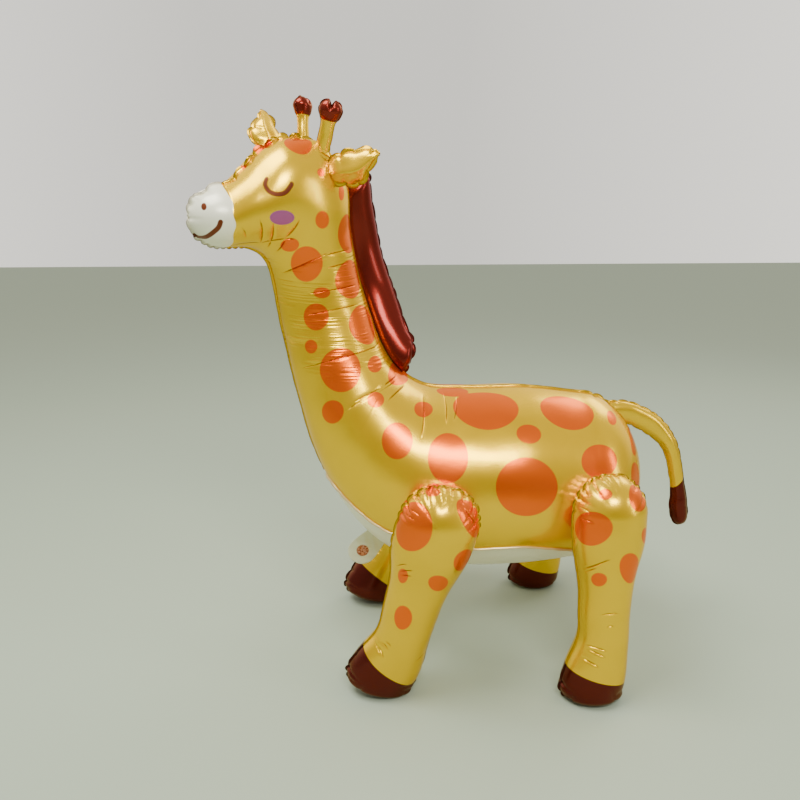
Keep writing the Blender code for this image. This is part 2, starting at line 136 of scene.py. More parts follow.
EARS = (
    ("ear_left", (-0.008, -0.040, 0.068), (0.038, -0.096, 0.086), (0.0, 0.0, 1.0)),
    ("ear_right", (-0.046, 0.038, 0.072), (-0.054, 0.088, 0.132), (1.0, 0.0, 0.0)),
)
TAB_LENGTH = 0.064
TAB_WIDTH = 0.042
TAB_ROOT_WIDTH = 0.030
TAB_RIB = 3.70
TAB_PRESSED_IN = 0.008
TAB_DROOP = 47.0

# The solids stand this far along X from the place where their outlines are drawn.
FRAME_SHIFT = np.array((0.1525579, 0.0, 0.0))

# Printed marks, in millimetres on the straight figure seen from its side, on both sides of it:
# x, z, half length, half height and tilt in degrees. Those of a leg are measured from its top.
NECK_SPOTS = (
    (-380, 573, 24, 20, 78),
    (-366, 630, 11, 9.6, 73),
    (-322, 608, 26, 21, 60),
    (-315, 550, 28, 24, 40),
    (-356, 536, 11, 7.4, 8),
    (-357, 502, 19, 16, 64),
    (-290, 487, 29, 23, 40),
    (-358, 462, 9.6, 9, 53),
    (-318, 432, 29, 26.5, 72),
    (-272, 436, 13.5, 10.5, -50),
    (-272, 394, 11.5, 10.5, -22),
    (-330, 378, 17.4, 15, -29),
    (-238, 417, 37, 16, -70),
)
HEAD_SPOTS = (
    (-382, 711, 19, 16, 90),
    (-424, 716, 12, 7, 10),
    (-449, 690, 4.5, 3, 60),
    (-344, 699, 11, 5, -60),
    (-364, 682, 5.5, 4.2, -26),
    (-334, 662, 10.5, 6, -75),
    (-403, 597, 12, 9.5, -35),
)
BODY_SPOTS = (
    (-126, 376, 44, 38, 0),
    (-12, 369, 38, 33, -10),
    (-75, 349, 16.5, 14, 0),
    (-181, 326, 33, 26, -85),
    (-80, 288, 41, 38, 10),
    (20, 313, 26, 22, -14),
    (50, 357, 16, 8, -70),
    (84, 322, 26, 12, -75),
    (80, 276, 25, 17, 70),
    (-209, 377, 15, 12, -55),
    (-247, 345, 24, 20, -87),
    (-164, 389, 22, 16, 0),
)
FRONT_LEG_SPOTS = (
    (-40, -50, 31, 28, -78),
    (-22, -6, 10, 8.5, 47),
    (32, -22, 28, 17, 30),
    (37, -78, 20, 15, 45),
    (13, -113, 16, 11.7, 42),
    (-31, -119, 12, 7.5, -89),
    (-14, -178, 18, 11.9, 85),
)
REAR_LEG_SPOTS = (
    (-34, -61, 27, 21, -31),
    (-17, -16, 8.4, 7.4, 11),
    (28, -22, 21, 16, -55),
    (38, -73, 14, 9, 46),
    (19, -112, 25, 15, 65),
    (-21, -128, 11, 9, -53),
)
NOSTRILS = ((-503, 641, 4.8, 3.6, 88),)
CHEEKS = ((-418, 632, 15.3, 9.3, 0),)

# Strokes of the face, each through places in space, in millimetres.
EYE_LINE = (
    (-431.5, -45.0, 674.3),
    (-434.5, -47.1, 668.9),
    (-431.8, -53.0, 662.4),
    (-423.2, -58.0, 659.9),
    (-413.4, -60.0, 662.6),
    (-405.0, -59.0, 670.7),
)
MOUTH_LINE = (
    (-487.5, -40, 625.5),
    (-489.5, -38.7, 619.4),
    (-493.3, -35, 614),
    (-501, -20, 604.5),
    (-508, 0, 603),
)

# The muzzle patch is the part in front of a slanted plane across the nose.
MUZZLE_AXIS = np.array((1.0, 0.0, 0.03))
MUZZLE_REACH = -0.4525

# The hooves reach up to a plane that slants up towards the toe: its height and its slope.
FRONT_HOOF_TOP = (0.042, 0.45)
REAR_HOOF_TOP = (0.040, 0.27)

# The tuft's print ends on a slant of 45 degrees through this x and height.
TUFT_TOP_X = 0.178
TUFT_TOP = 0.240

# Creases of the film, in millimetres in the side view: two ends and a share of the full depth.
# Those of a leg are measured from its top.
BODY_FOLDS = (
    (-404, 556, -355, 588, 0.9),
    (-387, 530, -290, 540, 0.5),
    (-376, 502, -293, 515, 0.7),
    (-370, 430, -265, 457, 0.9),
    (-310, 382, -242, 417, 1.0),
    (-258, 391, -230, 405, 0.8),
    (-278, 399, -241, 412, 0.6),
    (-207, 395, -217, 343, 0.7),
    (-177, 391, -182, 360, 0.8),
    (-159, 390, -174, 360, 0.6),
    (-471, 592.6, -434, 598.3, 0.8),
    (-436, 598, -397, 605.5, 1.0),
    (-445, 633, -435, 596, 0.8),
    (-427.6, 627, -424.5, 589, 0.8),
    (-395, 631, -409, 606, 0.9),
    (-408, 608, -415, 583, 0.7),
    (-465.5, 622, -454, 604, 0.5),
    (-373, 582, -314, 588, 0.5),
    (-361, 566, -313, 572, 0.4),
    (-304, 390, -260, 409, 0.6),
)
FRONT_LEG_FOLDS = (
    (-41, -113, -29, -96, 0.7),
    (-37, -117, -19, -100, 0.6),
    (-34, -120, -19, -111, 0.7),
    (-37, -235, -26, -245, 0.8),
    (-30, -228, -18, -232, 0.6),
    (-33, -235, -22, -245, 0.8),
    (-26, -223, -16, -226, 0.6),
    (-45, -32, -31, -31, 0.6),
    (-49, -41, -35, -39, 0.7),
    (16, -11, 42, -33, 0.8),
    (34, -232, 18, -246, 0.5),
)
REAR_LEG_FOLDS = (
    (-38, -120, -8, -95, 0.8),
    (-36, -123, -21, -109, 0.5),
    (-19, -177, 11, -173, 0.5),
    (-30, -223, -4, -225, 0.8),
    (-28, -227, -6, -234, 0.8),
    (-35, -240, -13, -248, 0.7),
    (-10, -193, 5, -190, 0.4),
    (-45, -37, -34, -41, 0.8),
    (-43, -51, -30, -52, 0.7),
)

# Spacing of the film's points, in metres. The body's is finer from the neck's foot to the head.
BODY_GRAIN_RIBS = (3.5, 6.0, 8.5, 9.5)
BODY_GRAINS = (0.0042, 0.0031, 0.0025, 0.0019)

# Rows of film points lie this share of a grain apart, which makes nearly even-sided triangles.
ROW_SPACING = 0.87

# Creases dip the film this far. The crease itself is narrower and is drawn by the material.
CREASE_DEPTH = 0.0007
CREASE_ARCH = 0.04

# A seam that curves outwards this strongly, per metre, gathers its film into the deepest pinches.
FULL_BULGE = 18.0

# Films stay this far apart, and a welded edge is this thick to either side of its middle.
FILM_GAP = 0.0006
WELD_HALF_THICKNESS = 0.00022
WELD_ROOT = -0.0012

# The brow is fuller and the film is drawn up round the horns, in metres beyond the solids.
BROW_FILL = 0.0062
BROW_OUT = (-0.6, 0.0, 0.8)
HORN_WEB_RISE = 0.009
HORN_WEB_RADIUS = 0.017

# Lobes along the seam over the nose and under the chin: height and length, in metres.
NOSE_LOBE = (0.0036, 0.0155)
CHIN_LOBE = (0.0013, 0.0080)

# The tail's root is deeper than its solid, and its film widens into the tuft by these shares, at
# heights in metres from the tuft's end up.
TAIL_ROOT_FILL = 0.0070
TAIL_DOWN = np.array((0.3, 0.0, 0.95))
TUFT_HEIGHTS = (0.191, 0.204, 0.208, 0.214, 0.219, 0.227, 0.242)
TUFT_GROWTH = (0.97, 0.98, 1.07, 1.26, 1.29, 1.22, 1.0)

# The printed strokes and edges, in metres: the muzzle patch ends in waves 24 mm long.
EYE_STROKE = 0.0054
MOUTH_STROKE = 0.0060
MUZZLE_WAVE_HEIGHT = 0.0012
MUZZLE_WAVE_TURNS = 260.0
MARK_BLUR = 0.0004
TAB_DISC_RADIUS = 0.009
TAB_DISC_BLUR = 0.0005
TAB_HALF_THICKNESS = 0.0003

# Sizes of the film's patterns, in millimetres.
INK_CLOUD = 38.46
FILM_CRINKLE = 10.53
CREASED_PATCH = 23.81
NECK_CREASE = (142.9, 3.333)
TAB_CRINKLE = 3.846

# The specks of the tab's print are too fine to show, so they are drawn this coarse.
TAB_SPECK = 2.381

# The finish of bare printed film and of its more opaque inks, which hide most of the metal.
FILM_METAL = 0.8
FILM_ROUGHNESS = 0.26
INK_METAL = {"pearl": 0.15, "ink": 0.4}
INK_ROUGHNESS = 0.34

# The film's clear outer skin, and how bright its base colour stays where the ink is thicker.
SKIN_COAT = 0.12
SKIN_ROUGHNESS = 0.06
THICK_INK_SHARE = 0.86

# Painted shade: colours multiplied into the film's colour at its welded edges and in its creases.
PAINTED_WELD_SHADE = "#7C6C59"
PAINTED_FOLD_SHADE = "#95816F"

# Width of the painted shade along each crease, then widths and depths that only the bump draws, in
# metres.
PAINTED_FOLD_SHADE_WIDTH = 0.0007
GROOVE_WIDTH = 0.0013
GROOVE_DEPTH = 0.0009
CRINKLE_DEPTH = 0.0006
NECK_CREASE_DEPTH = 0.0016
NECK_CREASE_SLANT = -20.0

CHEEK_COLOUR = "#A4528A"
FACE_COLOUR = "#6A2C10"
ROOM_COLOUR = "#F6F3EA"
FLOOR_COLOUR = "#A9B69E"

# The room's light, by direction: axis, where it starts and is full, and its strength at either.
ROOM_BEHIND = ("Y", 0.1, 0.8, 0.42, 1.5)
ROOM_ABOVE = ("Z", 0.2, 0.9, 0.0, 0.35)
ROOM_SIDES = ("X", 0.15, 0.85, 0.7, 1.3)

# Soft lights: name, place, target, size, and share of the key light's power.
LIGHTS = (
    ("key", (0.12, -1.60, 1.72), (0.0, 0.0, 0.35), (0.85, 0.42), 1.0),
    ("overhead", (-0.75, -0.25, 2.05), (-0.2, 0.0, 0.5), (1.1, 0.9), 1.4),
    ("side", (2.1, -1.2, 1.0), (0.0, 0.0, 0.45), (0.35, 1.3), 0.4),
    ("rim", (1.3, 1.2, 1.6), (0.0, 0.0, 0.4), (0.9, 0.9), 0.4),
)
FLOOR_SIZE = 14.0
FLOOR_DROP = 0.0006

# The camera looks along +Y, turned towards +X and dipped, in degrees.
CAMERA_PLACE = (-0.1611, -1.055, 0.645)
CAMERA_TURN = 4.25
CAMERA_DIP = 14.42
CAMERA_LENS = 35.01
CAMERA_SENSOR = 36.0

# Places of a Mix node's sockets, which has other ones for colours than for plain values.
SHARE, LOW_VALUE, HIGH_VALUE, LOW_COLOUR, HIGH_COLOUR = 0, 2, 3, 6, 7
VALUE_OUT, COLOUR_OUT = 0, 2

# The body's film once it is made, for its neighbours to rest against: points and triangles.
CHAMBERS = {}

X_AXIS, Y_AXIS, Z_AXIS = np.eye(3)


def linear(hex_code):
    """The linear colour of an sRGB hex value."""
    channels = [int(hex_code[i : i + 2], 16) / 255 for i in (1, 3, 5)]
    return tuple(c / 12.92 if c <= 0.04045 else ((c + 0.055) / 1.055) ** 2.4 for c in channels)


def smooth_step(low, high, value):
    """Zero at low, one at high, and smooth between them."""
    share = np.clip((np.asarray(value, float) - low) / (high - low), 0.0, 1.0)
    return share * share * (3.0 - 2.0 * share)


def unit(vectors):
    """Vectors scaled to length one."""
    return vectors / np.maximum(np.linalg.norm(vectors, axis=-1, keepdims=True), 1e-12)


def turn_about(axis, degrees):
    """The rotation by an angle about a named axis."""
    return np.array(Matrix.Rotation(math.radians(degrees), 3, axis))


def along_rows(rows, place):
    """The row at a place between rows, on a smooth curve through all of them."""
    rows = np.asarray(rows, float)
    last = len(rows) - 1
    index = min(last - 1, max(0, int(math.floor(place))))
    share = place - index
    p, q = rows[max(0, index - 1)], rows[index]
    r, s = rows[index + 1], rows[min(last, index + 2)]
    bend = (2 * p - 5 * q + 4 * r - s) * share**2 + (3 * q - p - 3 * r + s) * share**3
    return 0.5 * (2 * q + (r - p) * share + bend)


def dome(section, outward, length, share):
    """The section of a dome that closes a tube, at a share of the way to its pole."""
    centre, across, half_across, sideways, half_sideways = section
    angle = share * math.pi / 2
    shrink = math.cos(angle)
    middle = centre + outward * (length * math.sin(angle))
    return middle, across, half_across * shrink, sideways, half_sideways * shrink


def twist_neck(points):
    """Turns and leans points of the straight figure as far as their heights ask."""
    share = smooth_step(TWIST_STARTS_AT, TWIST_ENDS_AT, points[:, 2])
    turn, lean = np.radians(HEAD_TURN) * share, np.radians(HEAD_LEAN) * share
    x, y, z = (points - HEAD_PIVOT).T
    y, z = y * np.cos(lean) - z * np.sin(lean), y * np.sin(lean) + z * np.cos(lean)
    x, y = x * np.cos(turn) - y * np.sin(turn), x * np.sin(turn) + y * np.cos(turn)
    return np.stack((x, y, z), 1) + HEAD_PIVOT


def body_rib(place):
    """Belly point, back point and half width of the body at a place between its ribs."""
    belly_x, belly_z, back_x, back_z, half_width = along_rows(BODY_RIBS, place) * THOUSANDTH
    return np.array((belly_x, 0, belly_z)), np.array((back_x, 0, back_z)), half_width


def rib_section(place):
    """A section: its middle, then a direction and half a width along it, twice."""
    belly, back, half_width = body_rib(place)
    half = np.linalg.norm(back - belly) / 2
    return (belly + back) / 2, unit(back - belly), half, Y_AXIS, half_width


def body_section(place):
    """A section of the body. Places below 0 are the rump's dome, past the last rib the muzzle's."""
    last = len(BODY_RIBS) - 1
    section = rib_section(min(last, max(0, place)))
    if 0 <= place <= last:
        return section
    across = section[1]
    forward = np.array((-across[2], 0, across[0]))
    if place < 0:
        return dome(section, -forward, RUMP_LENGTH, -place)
    return dome(section, forward, MUZZLE_LENGTH, place - last)


def gusset_angle(place):
    """Half the angle that the belly gusset takes of a section."""
    share = (place - GUSSET_FIRST_RIB) / (GUSSET_LAST_RIB - GUSSET_FIRST_RIB)
    if share <= 0.0 or share >= 1.0:
        return 0.0
    widest = GUSSET_HALF_ANGLE + GUSSET_REAR_EXTRA * (1.0 - float(smooth_step(0.25, 0.5, share)))
    return math.radians(widest) * math.sin(math.pi * share) ** 0.4


def torso_half_width(x):
    """Half the width of the torso at a place along it."""
    places = np.linspace(0, 5, 61)
    middles = [rib_section(place)[0][0] for place in places]
    return rib_section(places[int(np.argmin(np.abs(np.array(middles) - x)))])[4]


def leg_rows(leg_length, thigh_length, shin_length, hoof_length):
    """Rows down a leg: drop from its top, half length, half depth and forward shift."""
    knee = 0.5 * (leg_length - HOOF_HEIGHT)
    thigh = thigh_length / 2
    return (
        (thigh, thigh_length / 2, THIGH_DEPTH / 2, 0.0),
        (0.5 * (thigh + knee), 0.485 * thigh_length, 0.49 * THIGH_DEPTH, 0.0),
        (knee + 0.010, 0.545 * shin_length, 0.54 * SHIN_DEPTH, 0.0),
        (knee + 0.055, shin_length / 2, SHIN_DEPTH / 2, 0.0),
        (leg_length - 1.75 * HOOF_HEIGHT, shin_length / 2, SHIN_DEPTH / 2, 0.0),
        (leg_length - HOOF_HEIGHT, 0.465 * hoof_length, HOOF_DEPTH / 2, 0.6 * TOE_REACH),
        (leg_length - 0.5 * HOOF_HEIGHT, hoof_length / 2, HOOF_DEPTH / 2, TOE_REACH),
        (leg_length - 0.3 * HOOF_HEIGHT, 0.49 * hoof_length, 0.49 * HOOF_DEPTH, TOE_REACH),
    )


def leg_section(leg):
    """Sections of a leg whose top is at the origin and whose toe points along -X."""
    rows = leg_rows(*leg)
    last = len(rows) - 1

    def section(place):
        drop, half_length, half_depth, shift = along_rows(rows, min(last, max(0, place)))
        level = (-X_AXIS * shift - Z_AXIS * drop, -X_AXIS, half_length, Y_AXIS, half_depth)
        if place < 0:
            return dome(level, Z_AXIS, rows[0][0], -place)
        if place > last:
            return dome(level, -Z_AXIS, leg[0] - rows[-1][0], place - last)
        return level

    return section, last


def leg_placing(leg, stand, side):
    """Turns a leg and sets its thigh against the torso and its foot at its stance."""
    thigh_length = leg[1]
    thigh_x, thigh_height, rake, stance = stand
    thigh_y = torso_half_width(thigh_x) + THIGH_DEPTH / 2 - LEG_PRESSED_IN
    tilt = math.degrees(math.atan2(thigh_y - stance / 2, thigh_height))
    turned = turn_about("Y", rake) @ turn_about("X", -side * tilt)
    thigh = np.array((thigh_x, side * thigh_y, thigh_height))

    def placed(points):
        return (points + Z_AXIS * thigh_length / 2) @ turned.T + thigh

    return placed


def mane_section(place):
    """Sections of the mane, along the back of the neck from its foot to its top."""
    rib = MANE_FIRST_RIB + (MANE_LAST_RIB - MANE_FIRST_RIB) * min(1.0, max(0.0, place))
    belly, back, _ = body_rib(rib)
    outward = unit(back - belly)
    share = 1.0 - MANE_TAPER * min(1.0, max(0.0, place))
    centre = back + outward * (MANE_DEPTH / 2 - MANE_PRESSED_IN)
    level = (centre, outward, MANE_DEPTH / 2 * share, Y_AXIS, MANE_THICKNESS / 2 * share)
    if 0 <= place <= 1:
        return level
    neighbour = mane_section(0.02 if place < 0 else 0.98)[0]
    beyond = -place if place < 0 else place - 1
    return dome(level, unit(centre - neighbour), MANE_END_LENGTH, beyond)


def tail_rows():
    """Rows down the tail: x and z in thousandths, half depth and half thickness in metres."""
    rows = []
    for index, (x, z) in enumerate(TAIL_LINE):
        share = 1.0 - TAIL_TAPER * index / (len(TAIL_LINE) - 1)
        rows.append((x, z, TAIL_DEPTH / 2 * share, TAIL_THICKNESS / 2 * share))
    return rows + [(x, z, TUFT_DEPTH / 2, TUFT_THICKNESS / 2) for x, z in TUFT_LINE]


def tail_section(place):
    """Sections of the tail, from its root down to the tuft."""
    rows = tail_rows()
    last = len(rows) - 1
    inside = min(last, max(0, place))
    x, z, half_depth, half_thickness = along_rows(rows, inside)
    centre = np.array((x, 0, z)) * THOUSANDTH
    before = along_rows(rows, max(0, inside - 0.1))
    after = along_rows(rows, min(last, inside + 0.1))
    along = unit(np.array((after[0] - before[0], 0, after[1] - before[1])))
    outward = np.array((-along[2], 0, along[0]))
    level = (centre, outward, half_depth, Y_AXIS, half_thickness)
    if place < 0:
        return dome(level, -along, TAIL_DEPTH / 4, -place)
    if place > last:
        return dome(level, along, TUFT_END_LENGTH, place - last)
    return level


def ear_section(length):
    """Sections of a leaf along +Y with its blade in the YZ plane."""

    def section(share):
        swell = max(0.0, math.sin(math.pi * share)) ** 0.6
        half_width = EAR_WIDTH / 2 * swell * (1.0 - 0.2 * share)
        return Y_AXIS * (length * share), Z_AXIS, half_width, X_AXIS, EAR_THICKNESS / 2 * swell

    return section


def curl_ear(points, length):
    """Draws in the ear's lower half towards its tip and bends the tip up."""
    share = np.clip(points[:, 1] / length, 0.0, 1.0)
    lower = points[:, 2] < 0
    shaped = points.copy()
    shaped[:, 2] *= np.where(lower, 1.0 - 0.75 * smooth_step(0.5, 0.95, share), 1.0)
    shaped[:, 2] += 0.010 * smooth_step(0.6, 1.0, share)
    shaped[:, 0] += np.where(lower, 0.22, 0.0) * points[:, 2] * np.sin(np.pi * share)
    return shaped


def horn_section(place):
    """Sections of a horn along +Z. Places past 4 are the top of its knob."""
    middle = HORN_STEM_LENGTH + HORN_KNOB_HEIGHT / 2
    rows = (
        (0.0, HORN_STEM_WIDTH / 2, HORN_STEM_DEPTH / 2),
        (0.5 * HORN_STEM_LENGTH, HORN_STEM_WIDTH / 2, HORN_STEM_DEPTH / 2),
        (0.94 * HORN_STEM_LENGTH, HORN_STEM_WIDTH / 2, HORN_STEM_DEPTH / 2),
        (HORN_STEM_LENGTH + 0.2 * HORN_KNOB_HEIGHT, 0.42 * HORN_KNOB_WIDTH, 0.42 * HORN_KNOB_DEPTH),
        (middle, HORN_KNOB_WIDTH / 2, HORN_KNOB_DEPTH / 2),
    )
    rise, half_width, half_depth = along_rows(rows, min(4.0, max(0.0, place)))
    level = (Z_AXIS * rise, Y_AXIS, half_width, X_AXIS, half_depth)
    if place < 0:
        return dome(level, -Z_AXIS, HORN_STEM_WIDTH / 8, -place)
    if place > 4:
        return dome(level, Z_AXIS, HORN_KNOB_HEIGHT / 2, place - 4)
    return level


def horn_turn(side):
    """The rotation that stands a horn on its side of the head."""
    splayed = turn_about("Y", HORN_REARWARD) @ turn_about("X", -side * HORN_SPLAY)
    return splayed @ turn_about("Z", -side * HORN_TURN)


def notch_knob(points):
    """Sinks the top of a knob towards the middle, which leaves a lobe on either side."""
    middle = HORN_STEM_LENGTH + HORN_KNOB_HEIGHT / 2
    nearness = np.clip(1.0 - np.abs(points[:, 1]) / (HORN_NOTCH_WIDTH / 2), 0.0, None)
    rise = np.clip(points[:, 2] - middle, 0.0, None) / (HORN_KNOB_HEIGHT / 2)
    return points - np.outer(HORN_NOTCH_DEPTH * nearness * rise, Z_AXIS)


def on_head(points):
    """Carries points measured from the head's pivot to the turned and leaning head."""
    turned = turn_about("Z", HEAD_TURN) @ turn_about("X", HEAD_LEAN)
    return points @ turned.T + HEAD_PIVOT


class Film:
    """The film of one chamber: points on even rows round it, its triangles and its seams."""

    def __init__(self, section, first, last, grain, bend, split=None):
        self.section, self.bend = section, bend
        self.grain = grain if callable(grain) else (lambda place: grain)
        self.split = split or (lambda place: 0.0)
        self.points, self.rows = [], []
        self.add_pole(first)
        for place in self.even_places(first, last):
            self.add_row(place)
        self.add_pole(last)
        self.flat = np.array(self.points)
        self.bent = bend(self.flat)
        self.faces = self.stitch()
        self.normals = normals_of(self.bent, self.faces)
        self.find_seams()

    def even_places(self, first, last):
        """Places whose sections lie about a grain apart."""
        places = np.linspace(first, last, 900)
        corners = []
        for place in places:
            centre, across, half_across, sideways, half_sideways = self.section(place)
            reach = (across * half_across, sideways * half_sideways)
            corners.append([centre + reach[0], centre - reach[0], centre + reach[1]])
        steps = np.linalg.norm(np.diff(np.array(corners), axis=0), axis=2).max(1)
        grains = np.array([self.grain(place) for place in places[1:]])
        run = np.concatenate(([0.0], np.cumsum(steps / grains)))
        count = max(4, int(round(run[-1] / ROW_SPACING)))
        return np.interp(np.linspace(0, run[-1], count + 1)[1:-1], run, places)

    def add_pole(self, place):
        """The single point that closes the film at one end."""
        self.rows.append([[len(self.points)]] * 3)
        self.points.append(self.section(place)[0])

    def add_row(self, place):
        """One closed row, cut into panels that begin and end on a seam."""
        centre, across, half_across, sideways, half_sideways = self.section(place)
        split = self.split(place)
        seams = [0.0, math.pi - split, math.pi + split, 2 * math.pi]
        start = len(self.points)
        panels = []
        for low, high in zip(seams, seams[1:]):
            first = len(self.points)
            if high - low > 1e-6:
                dense = np.linspace(low, high, 60)
                curve = np.stack((half_across * np.cos(dense), half_sideways * np.sin(dense)), 1)
                steps = np.linalg.norm(np.diff(curve, axis=0), axis=1)
                arc = np.concatenate(([0], np.cumsum(steps)))
                count = max(1, int(round(arc[-1] / self.grain(place))))
                for angle in np.interp(np.linspace(0, arc[-1], count + 1)[:-1], arc, dense):
                    side = sideways * (half_sideways * math.sin(angle))
                    self.points.append(centre + across * (half_across * math.cos(angle)) + side)
            panels.append(list(range(first, len(self.points))))
        for index, panel in enumerate(panels):
            following = panels[(index + 1) % 3] or panels[(index + 2) % 3]
            panel.append(following[0] if index < 2 else start)
        self.rows.append(panels)

    def stitch(self):
        """Triangles between each row and the next, panel by panel."""
        faces = []
        for lower, upper in zip(self.rows, self.rows[1:]):
            for near, far in zip(lower, upper):
                i = j = 0
                while i < len(near) - 1 or j < len(far) - 1:
                    ahead = (i + 1) / max(1, len(near) - 1) if i < len(near) - 1 else 2.0
                    beyond = (j + 1) / max(1, len(far) - 1) if j < len(far) - 1 else 2.0
                    if ahead <= beyond:
                        faces.append((near[i], near[i + 1], far[j]))
                        i += 1
                    else:
                        faces.append((near[i], far[j + 1], far[j]))
                        j += 1
        faces = np.array([face for face in faces if len(set(face)) == 3])
        a, b, c = (self.bent[faces[:, k]] - self.bent.mean(0) for k in range(3))
        if np.einsum("ij,ij->i", a, np.cross(b, c)).sum() < 0:
            faces = faces[:, ::-1]
        return faces

    def find_seams(self):
        """The seams as runs of points, and each point's place on the nearest one."""
        self.seams = [[row[0][0] for row in self.rows], [row[1][0] for row in self.rows]]
        run = []
        for row in self.rows + [None]:
            if row and len(row[1]) > 1:
                run.append(row[2][0])
            elif len(run) > 2:
                self.seams.append(run)
                run = []
        self.runs, tree, where = [], KDTree(sum(map(len, self.seams))), []
        for number, seam in enumerate(self.seams):
            steps = np.linalg.norm(np.diff(self.bent[seam], axis=0), axis=1)
            self.runs.append(np.concatenate(([0.0], np.cumsum(steps))))
            for index, run in zip(seam, self.runs[-1]):
                tree.insert(self.bent[index], len(where))
                where.append((number, run))
        tree.balance()
        where = np.array(where)
        nearest = [tree.find(point)[1:] for point in self.bent]
        self.seam_gap = np.array([gap for _, gap in nearest])
        self.seam_number, self.seam_run = where[[index for index, _ in nearest]].T

    def bulge(self, number):
        """How strongly a seam curves outwards along its length, per metre."""
        seam = self.seams[number]
        run = self.runs[number]
        even = np.linspace(0, run[-1], max(8, int(run[-1] / 0.006)))
        line = np.stack([np.interp(even, run, self.bent[seam, k]) for k in range(3)], 1)
        out = np.stack([np.interp(even, run, self.normals[seam, k]) for k in range(3)], 1)
        heading = unit(np.gradient(line, axis=0))
        turning = -np.einsum("ij,ij->i", np.gradient(heading, even, axis=0), out)
        kernel = np.ones(5) / 5
        return even, np.convolve(np.pad(turning, 2, mode="edge"), kernel, mode="valid")

    def gathers(self, spacing, depth, reach, seed, least):
        """How far each point sinks where the seams gather the film into pinches.

        Pinches are deep where a seam curves outwards and shallow where it runs straight, but never
        less than a least share of full depth, which may differ from point to point.
        """
        floor = np.broadcast_to(least, len(self.bent))
        chance = np.random.default_rng(seed)
        sink = np.zeros(len(self.bent))
        self.pinches, self.strengths = [], []
        for number in range(len(self.seams)):
            even, turning = self.bulge(number)
            own = self.seam_number == number
            run, gap = self.seam_run[own], self.seam_gap[own]
            seam, seam_run = self.seams[number], self.runs[number]
            pull = np.interp(seam_run, even, turning / FULL_BULGE)
            pull = np.clip(pull, floor[seam], 1.0)
            self.strengths.append(pull)
            part = np.zeros(len(run))

            # Each pinch has its own reach, lean and depth, and strong ones lie closer together.
            place, places = spacing * 0.3, []
            while place < even[-1]:
                strength = float(np.interp(place, seam_run, pull))
                length = reach * strength * chance.uniform(0.6, 1.35)
                lean = chance.normal(0.0, 0.12)
                fade = np.clip(1.0 - gap / length, 0.0, None) ** 1.3
                width = 0.2 * spacing * (0.8 + 0.4 * gap / reach)
                nearness = np.exp(-np.abs(run - place - lean * gap) / width)
                part += depth * strength * chance.uniform(0.6, 1.1) * fade * nearness
                places.append(place)
                place += spacing * chance.uniform(0.7, 1.35) * (1.6 - 0.6 * strength)
            sink[own] = part
            self.pinches.append(np.array(places))
        return sink

    def lifted(self, lift):
        """The film's points, each moved out of the film by its own lift."""
        return self.bent + self.normals * lift[:, None]

    def waves(self, size, height, seed):
        """Shallow, broad unevenness of the film."""
        offset = Vector((seed * 7.3, seed * 3.1, seed * 5.7))
        places = (Vector(point / size) + offset for point in self.flat)
        return height * np.array([noise.noise(place) for place in places])


def normals_of(points, faces):
    """Outward normals at the points, weighted by the size of the triangles round them."""
    a, b, c = (points[faces[:, k]] for k in range(3))
    flat = np.cross(b - a, c - a)
    normals = np.zeros_like(points)
    for k in range(3):
        for axis in range(3):
            normals[:, axis] += np.bincount(faces[:, k], flat[:, axis], len(points))
    return unit(normals)


def with_seam_edges(film, points, width, sway_share, shade):
    """Points and triangles of a chamber with the welded edge that stands out along its seams.

    Also returns, for each point, the film point that it belongs to and how strongly painted shade
    darkens it there.
    """
    normals = normals_of(points, film.faces)
    all_points, faces = [points], [film.faces]
    origin, painted_edge_shade = [np.arange(len(points))], [np.zeros(len(points))]
    total = len(points)
    for number, seam in enumerate(film.seams):
        run, pinches, pull = film.runs[number], film.pinches[number], film.strengths[number]
        # Painted shade on the standing part of the edge, weaker along the gusset's seams; the edge's
        # root gets none.
        tint = shade if number < 2 else 0.3 * shade
        seam = np.array(seam)
        base, out = points[seam], normals[seam]
        heading = unit(np.gradient(base, axis=0))
        out = unit(out - heading * np.einsum("ij,ij->i", out, heading)[:, None])
        side = np.cross(heading, out)
        index = np.searchsorted(pinches, run)
        padded = np.concatenate(([-0.01], pinches, [run[-1] + 0.01]))
        low, high = padded[index], padded[index + 1]
        share = (run - low) / (high - low)
        lobe = np.sin(np.pi * share)

        # The edge sways to either side by turns between pinches, and narrows at the seam's ends.
        sway = np.where(index % 2 == 0, 1.0, -1.0) * lobe * pull * sway_share * width
        tall = width * (0.65 + pull * (0.45 * lobe - 0.1))
        taper = np.clip(np.minimum(run, run[-1] - run) / (2 * width), 0.35, 1.0)
        thick = WELD_HALF_THICKNESS
        for stands, offset in ((False, thick), (True, thick), (True, -thick), (False, -thick)):
            rise = tall * taper if stands else np.full(len(seam), WELD_ROOT)
            swing = sway * taper if stands else 0.0 * sway
            all_points.append(base + out * rise[:, None] + side * (swing + offset)[:, None])
            origin.append(seam)
            painted_edge_shade.append(np.full(len(seam), tint if stands else 0.0))
        count = len(seam)
        ring = [total + count * k for k in range(4)]
        step = np.arange(count - 1)
        for k in range(3):
            a, b = ring[k] + step, ring[k + 1] + step
            faces.append(np.stack((a, a + 1, b + 1), 1))
            faces.append(np.stack((a, b + 1, b), 1))
        total += 4 * count
    return (
        np.concatenate(all_points),
        np.concatenate(faces),
        np.concatenate(origin),
        np.concatenate(painted_edge_shade),
    )


